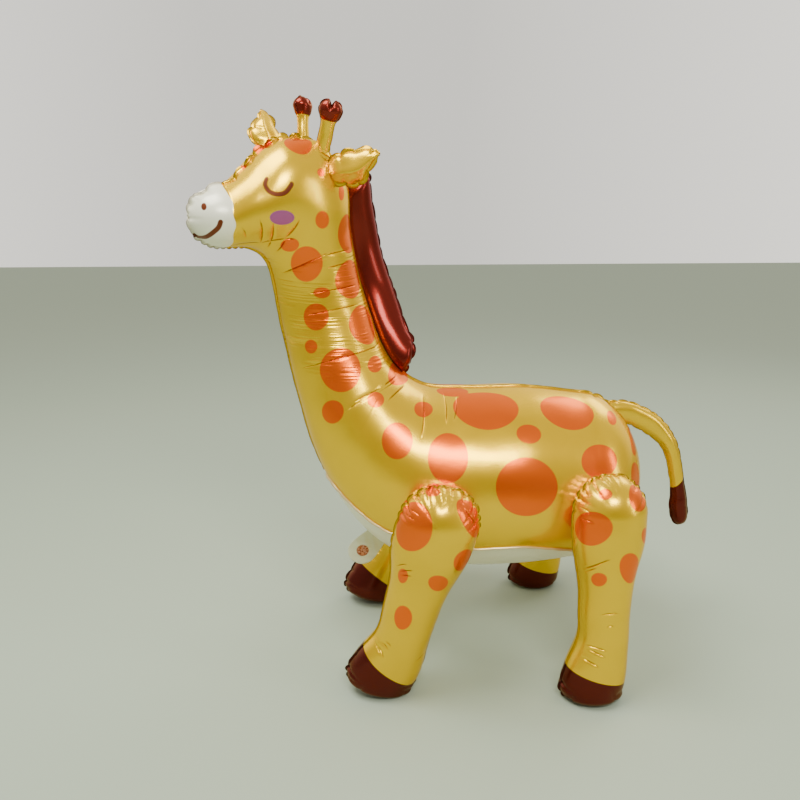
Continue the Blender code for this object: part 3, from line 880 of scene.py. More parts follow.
def rest_on_body(points):
    """Moves points that lie inside the body's chamber out onto its film."""
    wall_points, wall_faces = CHAMBERS["body"]
    tree = BVHTree.FromPolygons(wall_points.tolist(), wall_faces.tolist())
    low, high = wall_points.min(0), wall_points.max(0)
    moved = points.copy()
    for index in np.flatnonzero(((points > low) & (points < high)).all(1)):
        hit, normal, _, _ = tree.find_nearest(Vector(points[index]))
        depth = (Vector(points[index]) - hit).dot(normal)
        if depth < FILM_GAP:
            moved[index] = hit + normal * FILM_GAP
    return moved


def ellipse_gap(points, centre, out, half_long, half_short, tilt):
    """Distance outside an ellipse that lies flat on the film, negative inside it."""
    forward = unit(-X_AXIS - out * -out[0])
    upward = np.cross(forward, out)
    upward = upward * (1.0 if upward[2] >= 0 else -1.0)
    turned = math.radians(tilt)
    long_way = forward * math.cos(turned) + upward * math.sin(turned)
    short_way = upward * math.cos(turned) - forward * math.sin(turned)
    offset = points - centre
    u, v = offset @ long_way / half_long, offset @ short_way / half_short
    ratio = np.sqrt(u**2 + v**2) + 1e-9
    slope = np.sqrt((u / half_long) ** 2 + (v / half_short) ** 2) / ratio + 1e-9
    gap = (ratio - 1.0) / slope
    return np.where(np.linalg.norm(offset, axis=1) < 2.2 * half_long, gap, 1.0)


def spots_gap(film, spots):
    """Distance outside the nearest printed spot, for spots given on both sides in millimetres."""
    points = np.stack((film.flat[:, 0], -np.abs(film.flat[:, 1]), film.flat[:, 2]), 1)
    normals = normals_of(film.flat, film.faces)
    outside = np.full(len(points), 1.0)
    near_side = np.flatnonzero(film.flat[:, 1] < 0)
    for x, z, half_long, half_short, tilt in spots:
        across = points[near_side][:, (0, 2)] - np.array((x, z)) / 1000
        index = near_side[np.argmin((across**2).sum(1))]
        size = (half_long / 1000, half_short / 1000)
        gap = ellipse_gap(points, points[index], unit(normals[index]), *size, tilt)
        outside = np.minimum(outside, gap)
    return outside


def line_gap(film, line, width):
    """Distance outside a printed stroke that runs through places given in millimetres."""
    points = np.stack((film.flat[:, 0], -np.abs(film.flat[:, 1]), film.flat[:, 2]), 1)
    rows = np.array(line) / 1000
    dense = np.array([along_rows(rows, place) for place in np.linspace(0, len(rows) - 1, 60)])
    gap = np.full(len(points), 1.0)
    near = np.flatnonzero(((points > dense.min(0) - 0.02) & (points < dense.max(0) + 0.02)).all(1))
    if len(near):
        apart = np.linalg.norm(points[near, None] - dense[None], axis=2)
        gap[near] = apart.min(1) - width / 2
    return gap


def crease_line(fold):
    """Start, direction, length and share of depth of a crease that is given in millimetres."""
    x1, z1, x2, z2, share = fold
    start, end = np.array((x1, z1)) / 1000, np.array((x2, z2)) / 1000
    length = np.linalg.norm(end - start)
    return start, (end - start) / length, length, share


def crease_gaps(places, start, way, length):
    """How far places lie along a crease, and aside from it: it arches slightly between its ends."""
    along = (places - start) @ way
    arch = CREASE_ARCH * length * np.sin(np.pi * np.clip(along / length, 0.0, 1.0))
    return along, (places - start) @ np.array((-way[1], way[0])) - arch


def fold_places(flat, folds):
    """Each corner's signed distance from its triangle's nearest crease, and past that crease's end.

    A crease fades out towards its ends as far as its share of depth is small.
    """
    corners = flat[:, (0, 2)].reshape(-1, 3, 2)
    middles = corners.mean(1)
    nearest = np.full(len(middles), 1.0)
    off = np.full(corners.shape[:2], 1.0)
    past = np.full(corners.shape[:2], 1.0)
    for fold in folds:
        start, way, length, share = crease_line(fold)
        along = (middles - start) @ way
        beyond = np.maximum(np.maximum(-along, along - length), 0.0)
        apart = np.hypot((middles - start) @ np.array((-way[1], way[0])), beyond)
        index = np.flatnonzero(apart < nearest)
        nearest[index] = apart[index]
        own, off[index] = crease_gaps(corners[index], start, way, length)
        past[index] = np.maximum(-own, own - length) + 0.3 * length * (1.0 - share)
    return off.ravel(), past.ravel()


def fold_depth(film, folds, width):
    """How far each point dips beside the creases."""
    flat = film.flat[:, (0, 2)]
    sink = np.zeros(len(flat))
    for fold in folds:
        start, way, length, share = crease_line(fold)
        along, off = crease_gaps(flat, start, way, length)
        ends = np.clip(np.minimum(along, length - along) / (0.25 * length), 0.0, 1.0)
        sink = np.maximum(sink, CREASE_DEPTH * share * ends * np.exp(-((off / width) ** 2)))
    return sink


def make_piece(name, film, points, marks, width, slot, material, folds=(), sway=0.4, shade=0.75):
    """Turns a chamber into a finished piece with its seam edges, print marks and material. shade is
    the strength of the painted shade on its standing seam edges.
    """
    points, faces, origin, painted_edge_shade = with_seam_edges(film, points, width, sway, shade)
    points[:, 2] = np.maximum(points[:, 2], 0.0)
    mesh = bpy.data.meshes.new(name)
    mesh.vertices.add(len(points))
    mesh.vertices.foreach_set("co", (points + FRAME_SHIFT).ravel())
    mesh.loops.add(len(faces) * 3)
    mesh.loops.foreach_set("vertex_index", faces.ravel())
    mesh.polygons.add(len(faces))
    mesh.polygons.foreach_set("loop_start", np.arange(len(faces)) * 3)
    mesh.update(calc_edges=True)
    mesh.validate()
    mesh.polygons.foreach_set("use_smooth", np.ones(len(mesh.polygons), bool))
    flat = film.flat[origin]
    corners = np.empty(len(mesh.loops), int)
    mesh.loops.foreach_get("vertex_index", corners)
    mesh.uv_layers.new(name="Print")
    mesh.uv_layers["Print"].data.foreach_set("uv", flat[corners][:, (0, 2)].ravel())
    for mark, values in zip(("fold_off", "fold_past"), fold_places(flat[corners], folds)):
        layer = mesh.attributes.new(mark, "FLOAT", "CORNER")
        layer.data.foreach_set("value", values.astype(np.float32))
    # The edge attribute carries the painted shade of the standing seam edges.
    marks = dict(marks, edge=painted_edge_shade)
    for mark, values in marks.items():
        values = values if len(values) == len(points) else values[origin]
        layer = mesh.attributes.new(mark, "FLOAT", "POINT")
        layer.data.foreach_set("value", values.astype(np.float32))
    piece = bpy.data.objects.new(name, mesh)
    bpy.context.scene.collection.objects.link(piece)
    mesh.materials.append(material)
    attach(piece, "root")
    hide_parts(name.replace("film_", ""))


def add_node(tree, kind, links=None, **settings):
    """Adds a node. Settings are its properties, links fill its sockets with values or sockets."""
    node = tree.nodes.new(kind)
    for name, value in settings.items():
        setattr(node, name, value)
    for socket, value in (links or {}).items():
        if isinstance(value, bpy.types.NodeSocket):
            tree.links.new(value, node.inputs[socket])
        else:
            node.inputs[socket].default_value = value
    return node


def repeats(millimetres):
    """How often a pattern of this size repeats in a metre, which is its scale."""
    return 1000.0 / millimetres


def mark_mask(tree, mark, blur):
    """White inside a printed mark, with an edge as sharp as blur metres."""
    distance = add_node(tree, "ShaderNodeAttribute", attribute_name=mark).outputs["Fac"]
    sockets = {"Value": distance, "From Min": blur, "From Max": -blur}
    return add_node(tree, "ShaderNodeMapRange", sockets).outputs["Result"]


def fold_groove(tree, width):
    """One along the middle of a crease, zero a width away from it and past its ends."""
    off = add_node(tree, "ShaderNodeAttribute", attribute_name="fold_off").outputs["Fac"]
    aside = add_node(tree, "ShaderNodeMath", {0: off}, operation="ABSOLUTE").outputs[0]
    sockets = {"Value": aside, "From Min": width, "From Max": 0.0}
    smooth = add_node(tree, "ShaderNodeMapRange", sockets, interpolation_type="SMOOTHSTEP")
    past = add_node(tree, "ShaderNodeAttribute", attribute_name="fold_past").outputs["Fac"]
    sockets = {"Value": past, "From Min": 0.001, "From Max": -0.007}
    along = add_node(tree, "ShaderNodeMapRange", sockets).outputs["Result"]
    sockets = {0: smooth.outputs["Result"], 1: along}
    return add_node(tree, "ShaderNodeMath", sockets, operation="MULTIPLY").outputs[0]


def printed_film(name, base, marks=(), creased=False, metallic=FILM_METAL):
    """Metallised film: aluminised nylon, printed with translucent inks over a base colour.

    It is a soft coloured mirror, and painted shade darkens its colour in its folds and at its welded
    edges. Each mark is an attribute, its colour and its finish: foil shows the metal through the
    ink, pearl and ink are more opaque and duller. The base varies faintly, because ink on foil is
    never quite even, and fine crinkles in the bump break up the reflections.
    """
    material = bpy.data.materials.new(name)
    material.use_nodes = True
    tree = material.node_tree
    tree.nodes.clear()
    place = add_node(tree, "ShaderNodeTexCoord").outputs["Object"]
    sockets = {"Vector": place, "Scale": repeats(INK_CLOUD), "Detail": 3.0}
    cloud = add_node(tree, "ShaderNodeTexNoise", sockets).outputs["Fac"]
    deep = tuple(THICK_INK_SHARE * c for c in base)
    sockets = {SHARE: cloud, LOW_COLOUR: (*deep, 1.0), HIGH_COLOUR: (*base, 1.0)}
    colour = add_node(tree, "ShaderNodeMix", sockets, data_type="RGBA").outputs[COLOUR_OUT]
    shine, rough = metallic, FILM_ROUGHNESS
    for mark, tint, finish in marks:
        mask = mark_mask(tree, mark, MARK_BLUR)
        sockets = {SHARE: mask, LOW_COLOUR: colour, HIGH_COLOUR: (*tint, 1.0)}
        colour = add_node(tree, "ShaderNodeMix", sockets, data_type="RGBA").outputs[COLOUR_OUT]
        if finish in INK_METAL:
            sockets = {SHARE: mask, LOW_VALUE: shine, HIGH_VALUE: INK_METAL[finish]}
            shine = add_node(tree, "ShaderNodeMix", sockets).outputs[VALUE_OUT]
            sockets = {SHARE: mask, LOW_VALUE: rough, HIGH_VALUE: INK_ROUGHNESS}
            rough = add_node(tree, "ShaderNodeMix", sockets).outputs[VALUE_OUT]
    # Painted shade: the colour is multiplied darker on the standing seam edges.
    painted_weld_shade = add_node(tree, "ShaderNodeAttribute", attribute_name="edge").outputs["Fac"]
    # Painted shade in the creases: a narrow band along each crease darkens the colour.
    fold = fold_groove(tree, PAINTED_FOLD_SHADE_WIDTH)
    for share, shade in ((painted_weld_shade, PAINTED_WELD_SHADE), (fold, PAINTED_FOLD_SHADE)):
        sockets = {SHARE: share, LOW_COLOUR: colour, HIGH_COLOUR: (*linear(shade), 1.0)}
        shaded = add_node(tree, "ShaderNodeMix", sockets, data_type="RGBA", blend_type="MULTIPLY")
        colour = shaded.outputs[COLOUR_OUT]
    scale = repeats(FILM_CRINKLE)
    sockets = {"Vector": place, "Scale": scale, "Detail": 2.0, "Roughness": 0.6}
    crinkle = add_node(tree, "ShaderNodeTexNoise", sockets).outputs["Fac"]
    sockets = {"Strength": 0.12, "Distance": CRINKLE_DEPTH, "Height": crinkle}
    normal = add_node(tree, "ShaderNodeBump", sockets).outputs["Normal"]
    groove = fold_groove(tree, GROOVE_WIDTH)
    sockets = {"Strength": 1.0, "Distance": -GROOVE_DEPTH, "Height": groove, "Normal": normal}
    normal = add_node(tree, "ShaderNodeBump", sockets).outputs["Normal"]
    if creased:
        normal = neck_creases(tree, normal)
    sockets = {
        "Base Color": colour,
        "Metallic": shine,
        "Roughness": rough,
        "Specular Tint": (*(0.5 + 0.5 * c for c in base), 1.0),
        "Coat Weight": SKIN_COAT,
        "Coat Roughness": SKIN_ROUGHNESS,
        "Normal": normal,
    }
    shader = add_node(tree, "ShaderNodeBsdfPrincipled", sockets)
    output = add_node(tree, "ShaderNodeOutputMaterial")
    tree.links.new(shader.outputs["BSDF"], output.inputs["Surface"])
    return material


def neck_creases(tree, normal):
    """The film's normal with fine slanting creases, in patches, where the neck is bent."""
    side = add_node(tree, "ShaderNodeUVMap", uv_map="Print").outputs["UV"]
    slant = (0.0, 0.0, math.radians(NECK_CREASE_SLANT))
    scales = (*map(repeats, NECK_CREASE), 1.0)
    sockets = {"Vector": side, "Rotation": slant, "Scale": scales}
    turned = add_node(tree, "ShaderNodeMapping", sockets).outputs["Vector"]
    sockets = {"Vector": turned, "Scale": 1.0, "Detail": 1.0}
    lines = add_node(tree, "ShaderNodeTexNoise", sockets).outputs["Fac"]
    sockets = {"Vector": side, "Scale": repeats(CREASED_PATCH), "Detail": 1.0}
    patch = add_node(tree, "ShaderNodeTexNoise", sockets).outputs["Fac"]
    sockets = {"Value": patch, "From Min": 0.42, "From Max": 0.6}
    patches = add_node(tree, "ShaderNodeMapRange", sockets).outputs["Result"]
    neck = add_node(tree, "ShaderNodeAttribute", attribute_name="crease").outputs["Fac"]
    share = add_node(tree, "ShaderNodeMath", {0: neck, 1: patches}, operation="MULTIPLY").outputs[0]
    depth = NECK_CREASE_DEPTH
    sockets = {"Strength": share, "Distance": depth, "Height": lines, "Normal": normal}
    return add_node(tree, "ShaderNodeBump", sockets).outputs["Normal"]


def film_colour(label, about, hex_code):
    """A colour that a user may change."""
    return FloatVectorProperty(
        name=label, description=about, subtype="COLOR", default=linear(hex_code), min=0.0, max=1.0
    )


class BalloonLooks(bpy.types.PropertyGroup):
    """What a user may change about the balloon before it is made."""

    foil_colour: film_colour("Foil", "Colour of the metallised film", "#FFCE00")
    spot_colour: film_colour("Spots", "Colour of the printed spots", "#F8690A")
    brown_colour: film_colour(
        "Hooves and mane", "Colour of the hooves, mane, horn tips and tail tuft", "#7A2419"
    )
    pearl_colour: film_colour(
        "Muzzle and belly", "Colour of the pearly print on the muzzle and belly", "#F8F6DC"
    )
    pinch_depth: FloatProperty(
        name="Pinch depth",
        description="How far the film sinks where a seam gathers it",
        default=0.0042,
        min=0.0,
        max=0.010,
        subtype="DISTANCE",
        unit="LENGTH",
    )
    seam_edge: FloatProperty(
        name="Seam edge",
        description="Width of the welded edge that stands out along the seams",
        default=0.0042,
        min=0.001,
        max=0.010,
        subtype="DISTANCE",
        unit="LENGTH",
    )
    light_power: FloatProperty(
        name="Key light",
        description="Power of the large soft light",
        default=26.0,
        min=1.0,
        max=500.0,
        subtype="POWER",
        unit="POWER",
    )


def yellow_film(name, looks, marks, creased=False):
    """Printed film in the balloon's main colour."""
    return printed_film(name, looks.foil_colour, marks, creased)


class InflateBody(bpy.types.Operator):
    """Makes the body, neck and head as one chamber, with its spots and face printed on"""

    bl_idname = "balloon.inflate_body"
    bl_label = "Inflate Body"

    def execute(self, context):
        looks = context.scene.balloon_looks
        last = len(BODY_RIBS) - 1

        def grain(place):
            return float(np.interp(place, BODY_GRAIN_RIBS, BODY_GRAINS))

        film = Film(body_section, -1.0, last + 1.0, grain, twist_neck, gusset_angle)
        points = self.pulled_points(film, looks.pinch_depth)
        prints = (
            ("spot", looks.spot_colour, "foil"),
            ("gusset", looks.pearl_colour, "pearl"),
            ("muzzle", looks.pearl_colour, "pearl"),
            ("cheek", linear(CHEEK_COLOUR), "ink"),
            ("face", linear(FACE_COLOUR), "ink"),
        )
        look = yellow_film("yellow_body_film", looks, prints, creased=True)
        marks, width = self.marks(film), looks.seam_edge
        make_piece("film_body", film, points, marks, width, "yellow_foil", look, BODY_FOLDS)
        CHAMBERS["body"] = (points, film.faces)
        return {"FINISHED"}

    def pulled_points(self, film, depth):
        """The film's points, pulled in at the seams and creases and out at the brow and horns."""
        x, _, z = film.flat.T

        # The seam gathers more over the brow, and less round the muzzle except at the nose's tip.
        brow = smooth_step(-0.36, -0.39, x) * smooth_step(0.61, 0.64, z)
        least = 0.06 + 0.6 * brow
        sink = film.gathers(spacing=0.017, depth=depth, reach=0.030, seed=3, least=least)
        nose_tip = np.exp(-(((z - 0.640) / 0.016) ** 2))
        calm = 1.0 - 0.75 * smooth_step(-0.455, -0.475, x) * (1.0 - nose_tip)
        sink *= calm

        # Its welded edge stands out furthest on the brow.
        wide = 1.4 * smooth_step(-0.455, -0.440, x) * smooth_step(-0.355, -0.375, x)
        wide *= smooth_step(0.655, 0.675, z)
        pulls = zip(film.strengths, film.seams)
        film.strengths = [pull * calm[seam] + wide[seam] for pull, seam in pulls]

        # Two sizes of unevenness lie over what the seams and creases pull in.
        sink += fold_depth(film, BODY_FOLDS, width=0.0022) - self.nose_lobes(film)
        lift = film.waves(size=0.055, height=0.0007, seed=1) - sink
        lift += film.waves(size=0.024, height=0.00025, seed=2)
        raised = smooth_step(-0.462, -0.415, x) * smooth_step(-0.320, -0.385, x)
        raised *= smooth_step(0.655, 0.700, z)
        return film.lifted(lift) + self.horn_webs(film) + np.outer(BROW_FILL * raised, BROW_OUT)

    def marks(self, film):
        """Distances outside each printed mark, and the share of creasing along the neck."""
        z = film.flat[:, 2]
        muzzle = film.flat @ MUZZLE_AXIS - MUZZLE_REACH
        muzzle += MUZZLE_WAVE_HEIGHT * np.sin(z * MUZZLE_WAVE_TURNS)
        spots = spots_gap(film, NECK_SPOTS + HEAD_SPOTS + BODY_SPOTS)
        eye = line_gap(film, EYE_LINE, EYE_STROKE)
        mouth = line_gap(film, MOUTH_LINE, MOUTH_STROKE)
        return {
            "spot": np.maximum(spots, -muzzle),
            "muzzle": muzzle,
            "gusset": self.gusset_gap(film),
            "face": np.minimum(np.minimum(eye, mouth), spots_gap(film, NOSTRILS)),
            "cheek": spots_gap(film, CHEEKS),
            "crease": smooth_step(0.40, 0.44, z) * (1 - smooth_step(0.575, 0.60, z)),
        }

    def nose_lobes(self, film):
        """How far the film swells in round lobes along the seam over the nose and the chin."""
        x, _, z = film.flat.T
        near_seam = np.exp(-((film.seam_gap / 0.008) ** 2))
        nose = smooth_step(-0.438, -0.455, x) * np.exp(-(((z - 0.654) / 0.016) ** 2))
        chin = smooth_step(-0.442, -0.450, x) * smooth_step(0.612, 0.600, z)
        nose_height, nose_length = NOSE_LOBE
        chin_height, chin_length = CHIN_LOBE
        lobes = nose_height * nose * np.cos(2 * np.pi * (z - 0.647) / nose_length)
        lobes += chin_height * chin * np.cos(2 * np.pi * x / chin_length)
        return lobes * near_seam

    def horn_webs(self, film):
        """How far and which way the film is drawn up round the foot of each horn."""
        raised = np.zeros(film.bent.shape)
        for side in (-1, 1):
            place = np.array(HORN_PLACE) * (1, side, 1)
            foot = on_head(place)
            way = unit(on_head(place + horn_turn(side) @ Z_AXIS * HORN_STEM_LENGTH) - foot)
            offset = film.bent - foot
            apart = np.linalg.norm(offset - np.outer(offset @ way, way), axis=1)
            share = np.exp(-((apart / HORN_WEB_RADIUS) ** 2)) * (offset @ way > -0.04)
            raised += np.outer(HORN_WEB_RISE * share, way)
        return raised

    def gusset_gap(self, film):
        """Distance outside the belly gusset, measured round the section."""
        gap = np.full(len(film.flat), 1.0)
        for row in film.rows:
            panel = row[1]
            if len(panel) < 2:
                continue
            others = row[0][:-1] + row[2][1:-1]
            for index in panel:
                gap[index] = -film.seam_gap[index]
            for index in others:
                gap[index] = film.seam_gap[index] if film.seam_number[index] >= 2 else 1.0
        return np.where(gap > 0.9, film.seam_gap + 0.004, gap)


class InflateLegs(bpy.types.Operator):
    """Makes the four legs, which rest against the body and stand flat on the floor"""

    bl_idname = "balloon.inflate_legs"
    bl_label = "Inflate Legs"

    def execute(self, context):
        looks = context.scene.balloon_looks
        dark_hoof = tuple(0.5 * c for c in looks.brown_colour)
        prints = (("spot", looks.spot_colour, "foil"), ("hoof", dark_hoof, "foil"))
        look = yellow_film("yellow_leg_film", looks, prints)
        width = 0.6 * looks.seam_edge
        seed = 20
        front = (FRONT_LEG, FRONT_STAND, FRONT_LEG_SPOTS, FRONT_HOOF_TOP, FRONT_LEG_FOLDS)
        rear = (REAR_LEG, REAR_STAND, REAR_LEG_SPOTS, REAR_HOOF_TOP, REAR_LEG_FOLDS)
        for where, (leg, stand, spots, hoof, folds) in (("front", front), ("rear", rear)):
            for side_name, side in (("left", -1), ("right", 1)):
                seed += 1
                section, last = leg_section(leg)
                placed = leg_placing(leg, stand, side)
                film = Film(section, -1.0, last + 1.0, grain=0.0018, bend=placed)
                depth = 1.3 * looks.pinch_depth
                sink = film.gathers(0.0145, depth, reach=0.042, seed=seed, least=0.06)
                sink += fold_depth(film, folds, width=0.0018)
                lift = film.waves(size=0.045, height=0.0008, seed=seed) - sink
                points = rest_on_body(film.lifted(lift))
                points[:, 2] = np.maximum(points[:, 2], 0.0)
                above_sole = film.flat[:, 2] + leg[0]
                marks = {
                    "spot": spots_gap(film, spots),
                    "hoof": above_sole - hoof[0] + hoof[1] * film.flat[:, 0],
                }
                piece = (f"film_leg_{where}_{side_name}", film, points, marks, width)
                # The legs' standing seam edges get full-strength painted shade.
                make_piece(*piece, "yellow_foil", look, folds, sway=0.1, shade=1.0)
        return {"FINISHED"}


class InflateMane(bpy.types.Operator):
    """Makes the mane, a long chamber along the back of the neck"""

    bl_idname = "balloon.inflate_mane"
    bl_label = "Inflate Mane"

    def execute(self, context):
        looks = context.scene.balloon_looks
        film = Film(mane_section, -1.0, 2.0, grain=0.0020, bend=twist_neck)
        sink = film.gathers(0.015, 0.55 * looks.pinch_depth, reach=0.015, seed=41, least=0.4)
        points = rest_on_body(film.lifted(film.waves(size=0.03, height=0.0006, seed=5) - sink))
        look = printed_film("brown_mane_film", looks.brown_colour, metallic=0.85)
        make_piece("film_mane", film, points, {}, looks.seam_edge, "brown_foil", look)
        return {"FINISHED"}


class InflateTail(bpy.types.Operator):
    """Makes the tail with its dark tuft"""

    bl_idname = "balloon.inflate_tail"
    bl_label = "Inflate Tail"

    def execute(self, context):
        looks = context.scene.balloon_looks
        last = len(tail_rows()) - 1
        film = Film(tail_section, -1.0, last + 1.0, grain=0.0018, bend=np.copy)
        x, _, z = film.flat.T

        # The seam gathers more on the root's rise and hardly at all on the round tuft.
        least = 0.2 + 0.3 * smooth_step(0.30, 0.34, z)
        sink = film.gathers(0.013, 0.5 * looks.pinch_depth, reach=0.010, seed=51, least=least)
        calm = 1.0 - 0.7 * smooth_step(0.245, 0.230, z)
        film.strengths = [pull * calm[seam] for pull, seam in zip(film.strengths, film.seams)]
        lift = film.waves(size=0.02, height=0.0005, seed=6) - sink * calm
        points = rest_on_body(self.fill_out(film, film.lifted(lift)))
        dark_tuft = tuple(0.6 * c for c in looks.brown_colour)
        marks = {"tuft": z - (x - TUFT_TOP_X) - TUFT_TOP}
        look = yellow_film("yellow_tail_film", looks, (("tuft", dark_tuft, "foil"),))
        width = 0.7 * looks.seam_edge
        make_piece("film_tail", film, points, marks, width, "yellow_foil", look)
        return {"FINISHED"}

    def fill_out(self, film, points):
        """Deepens the tail's root downwards and widens it evenly into the tuft."""
        filled = points.copy()
        for row in film.rows:
            index = sorted({one for panel in row for one in panel})
            centre = film.bent[index].mean(0)
            offset = points[index] - centre
            growth = np.interp(centre[2], TUFT_HEIGHTS, TUFT_GROWTH)
            root = TAIL_ROOT_FILL * smooth_step(0.175, 0.130, film.flat[index, 0].mean())
            under = np.clip(-offset @ TAIL_DOWN / 0.010, 0.0, 1.0)
            offset *= (growth, growth, 1.0)
            filled[index] = centre + offset - np.outer(root * under, TAIL_DOWN)
        return filled


class InflateEars(bpy.types.Operator):
    """Makes both ears, small leaf-shaped chambers"""

    bl_idname = "balloon.inflate_ears"
    bl_label = "Inflate Ears"

    def execute(self, context):
        looks = context.scene.balloon_looks
        look = yellow_film("yellow_ear_film", looks, ())
        width = 1.2 * looks.seam_edge
        for name, root, tip, blade in EARS:
            root, tip, blade = np.array(root), np.array(tip), np.array(blade)
            along = unit(tip - root)
            across = unit(blade - along * (blade @ along))
            turned = np.stack((np.cross(along, across), along, across), 1)
            length = np.linalg.norm(tip - root)

            def placed(points, turned=turned, root=root, length=length):
                return on_head(curl_ear(points, length) @ turned.T + root)

            film = Film(ear_section(length), 0.002, 0.998, grain=0.0013, bend=placed)
            depth = 1.1 * looks.pinch_depth
            sink = film.gathers(0.021, depth, reach=0.020, seed=len(name), least=0.5)
            ridge = 0.0045 * np.exp(-np.abs(film.flat[:, 2] + 0.003) / 0.006)
            ridge *= np.sin(np.pi * np.clip(film.flat[:, 1] / length, 0.0, 1.0))
            lift = film.waves(size=0.018, height=0.0010, seed=7) + ridge - sink
            points = rest_on_body(film.lifted(lift))
            make_piece("film_" + name, film, points, {}, width, "yellow_foil", look)
        return {"FINISHED"}


class InflateHorns(bpy.types.Operator):
    """Makes both horns, with a dark notched knob on each"""

    bl_idname = "balloon.inflate_horns"
    bl_label = "Inflate Horns"

    def execute(self, context):
        looks = context.scene.balloon_looks
        look = yellow_film("yellow_horn_film", looks, (("knob", looks.brown_colour, "foil"),))
        width = 0.3 * looks.seam_edge
        for name, side in (("left", -1), ("right", 1)):
            turned = horn_turn(side)
            place = np.array(HORN_PLACE) * (1, side, 1)

            def placed(points, turned=turned, place=place):
                return on_head(notch_knob(points) @ turned.T + place)

            film = Film(horn_section, -1.0, 5.0, grain=0.0012, bend=placed)
            depth = 0.16 * looks.pinch_depth
            sink = film.gathers(0.012, depth, reach=0.007, seed=60 + side, least=0.2)
            lift = film.waves(size=0.012, height=0.0004, seed=8) - sink
            points = rest_on_body(film.lifted(lift))
            marks = {"knob": HORN_STEM_LENGTH + 0.001 - film.flat[:, 2]}
            make_piece("film_horn_" + name, film, points, marks, width, "brown_foil", look)
        return {"FINISHED"}


class FitTab(bpy.types.Operator):
    """Makes the flat filling tab under the chest"""

    bl_idname = "balloon.fit_tab"
    bl_label = "Fit Filling Tab"

    def execute(self, context):
        half_root, radius = TAB_ROOT_WIDTH / 2, TAB_WIDTH / 2
        belly, back, _ = body_rib(TAB_RIB)
        start = belly + unit(back - belly) * TAB_PRESSED_IN
        turned = turn_about("Y", -TAB_DROOP)
        columns, rows = 34, 22
        points = []
        for i in range(columns + 1):
            x = TAB_LENGTH * i / columns
            round_end = x - (TAB_LENGTH - radius)
            if round_end > 0:
                half = math.sqrt(max(0.0, radius**2 - round_end**2))
            else:
                neck = smooth_step(0.0, TAB_LENGTH - radius, x)
                half = half_root + (radius - half_root) * float(neck)
            for j in range(rows + 1):
                points.append((-x, 0.0, half * (2 * j / rows - 1)))
        points = np.array(points)
        swell = 0.0004 * np.sin(points[:, 0] * 420) * np.cos(points[:, 2] * 300)
        sides = (-TAB_HALF_THICKNESS, TAB_HALF_THICKNESS)
        layers = [points + np.outer(swell + offset, Y_AXIS) for offset in sides]
        count = len(points)
        quads = []
        for i in range(columns):
            for j in range(rows):
                a = i * (rows + 1) + j
                b, c, d = a + rows + 1, a + rows + 2, a + 1
                quads.append((a, b, c, d))
                quads.append((a + count, d + count, c + count, b + count))
        rim = [i * (rows + 1) for i in range(columns + 1)]
        rim += [columns * (rows + 1) + j for j in range(1, rows + 1)]
        rim += [i * (rows + 1) + rows for i in range(columns - 1, -1, -1)]
        rim += list(range(rows - 1, 0, -1))
        for a, b in zip(rim, rim[1:] + rim[:1]):
            quads.append((b, a, a + count, b + count))
        placed = np.concatenate(layers) @ turned.T + start + FRAME_SHIFT
        mesh = bpy.data.meshes.new("film_filling_tab")
        mesh.from_pydata(placed.tolist(), [], quads)
        mesh.validate()
        mesh.polygons.foreach_set("use_smooth", np.ones(len(mesh.polygons), bool))
        flat = np.concatenate((points, points))
        from_middle = flat[:, (0, 2)] + (TAB_LENGTH * 0.66, 0.0)
        disc = np.linalg.norm(from_middle, axis=1) - TAB_DISC_RADIUS
        layer = mesh.attributes.new("disc", "FLOAT", "POINT")
        layer.data.foreach_set("value", disc.astype(np.float32))
        mesh.materials.append(clear_film("clear_tab_film"))
        tab = bpy.data.objects.new("film_filling_tab", mesh)
        context.scene.collection.objects.link(tab)
        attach(tab, "root")
        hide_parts("filling_tab")
        return {"FINISHED"}


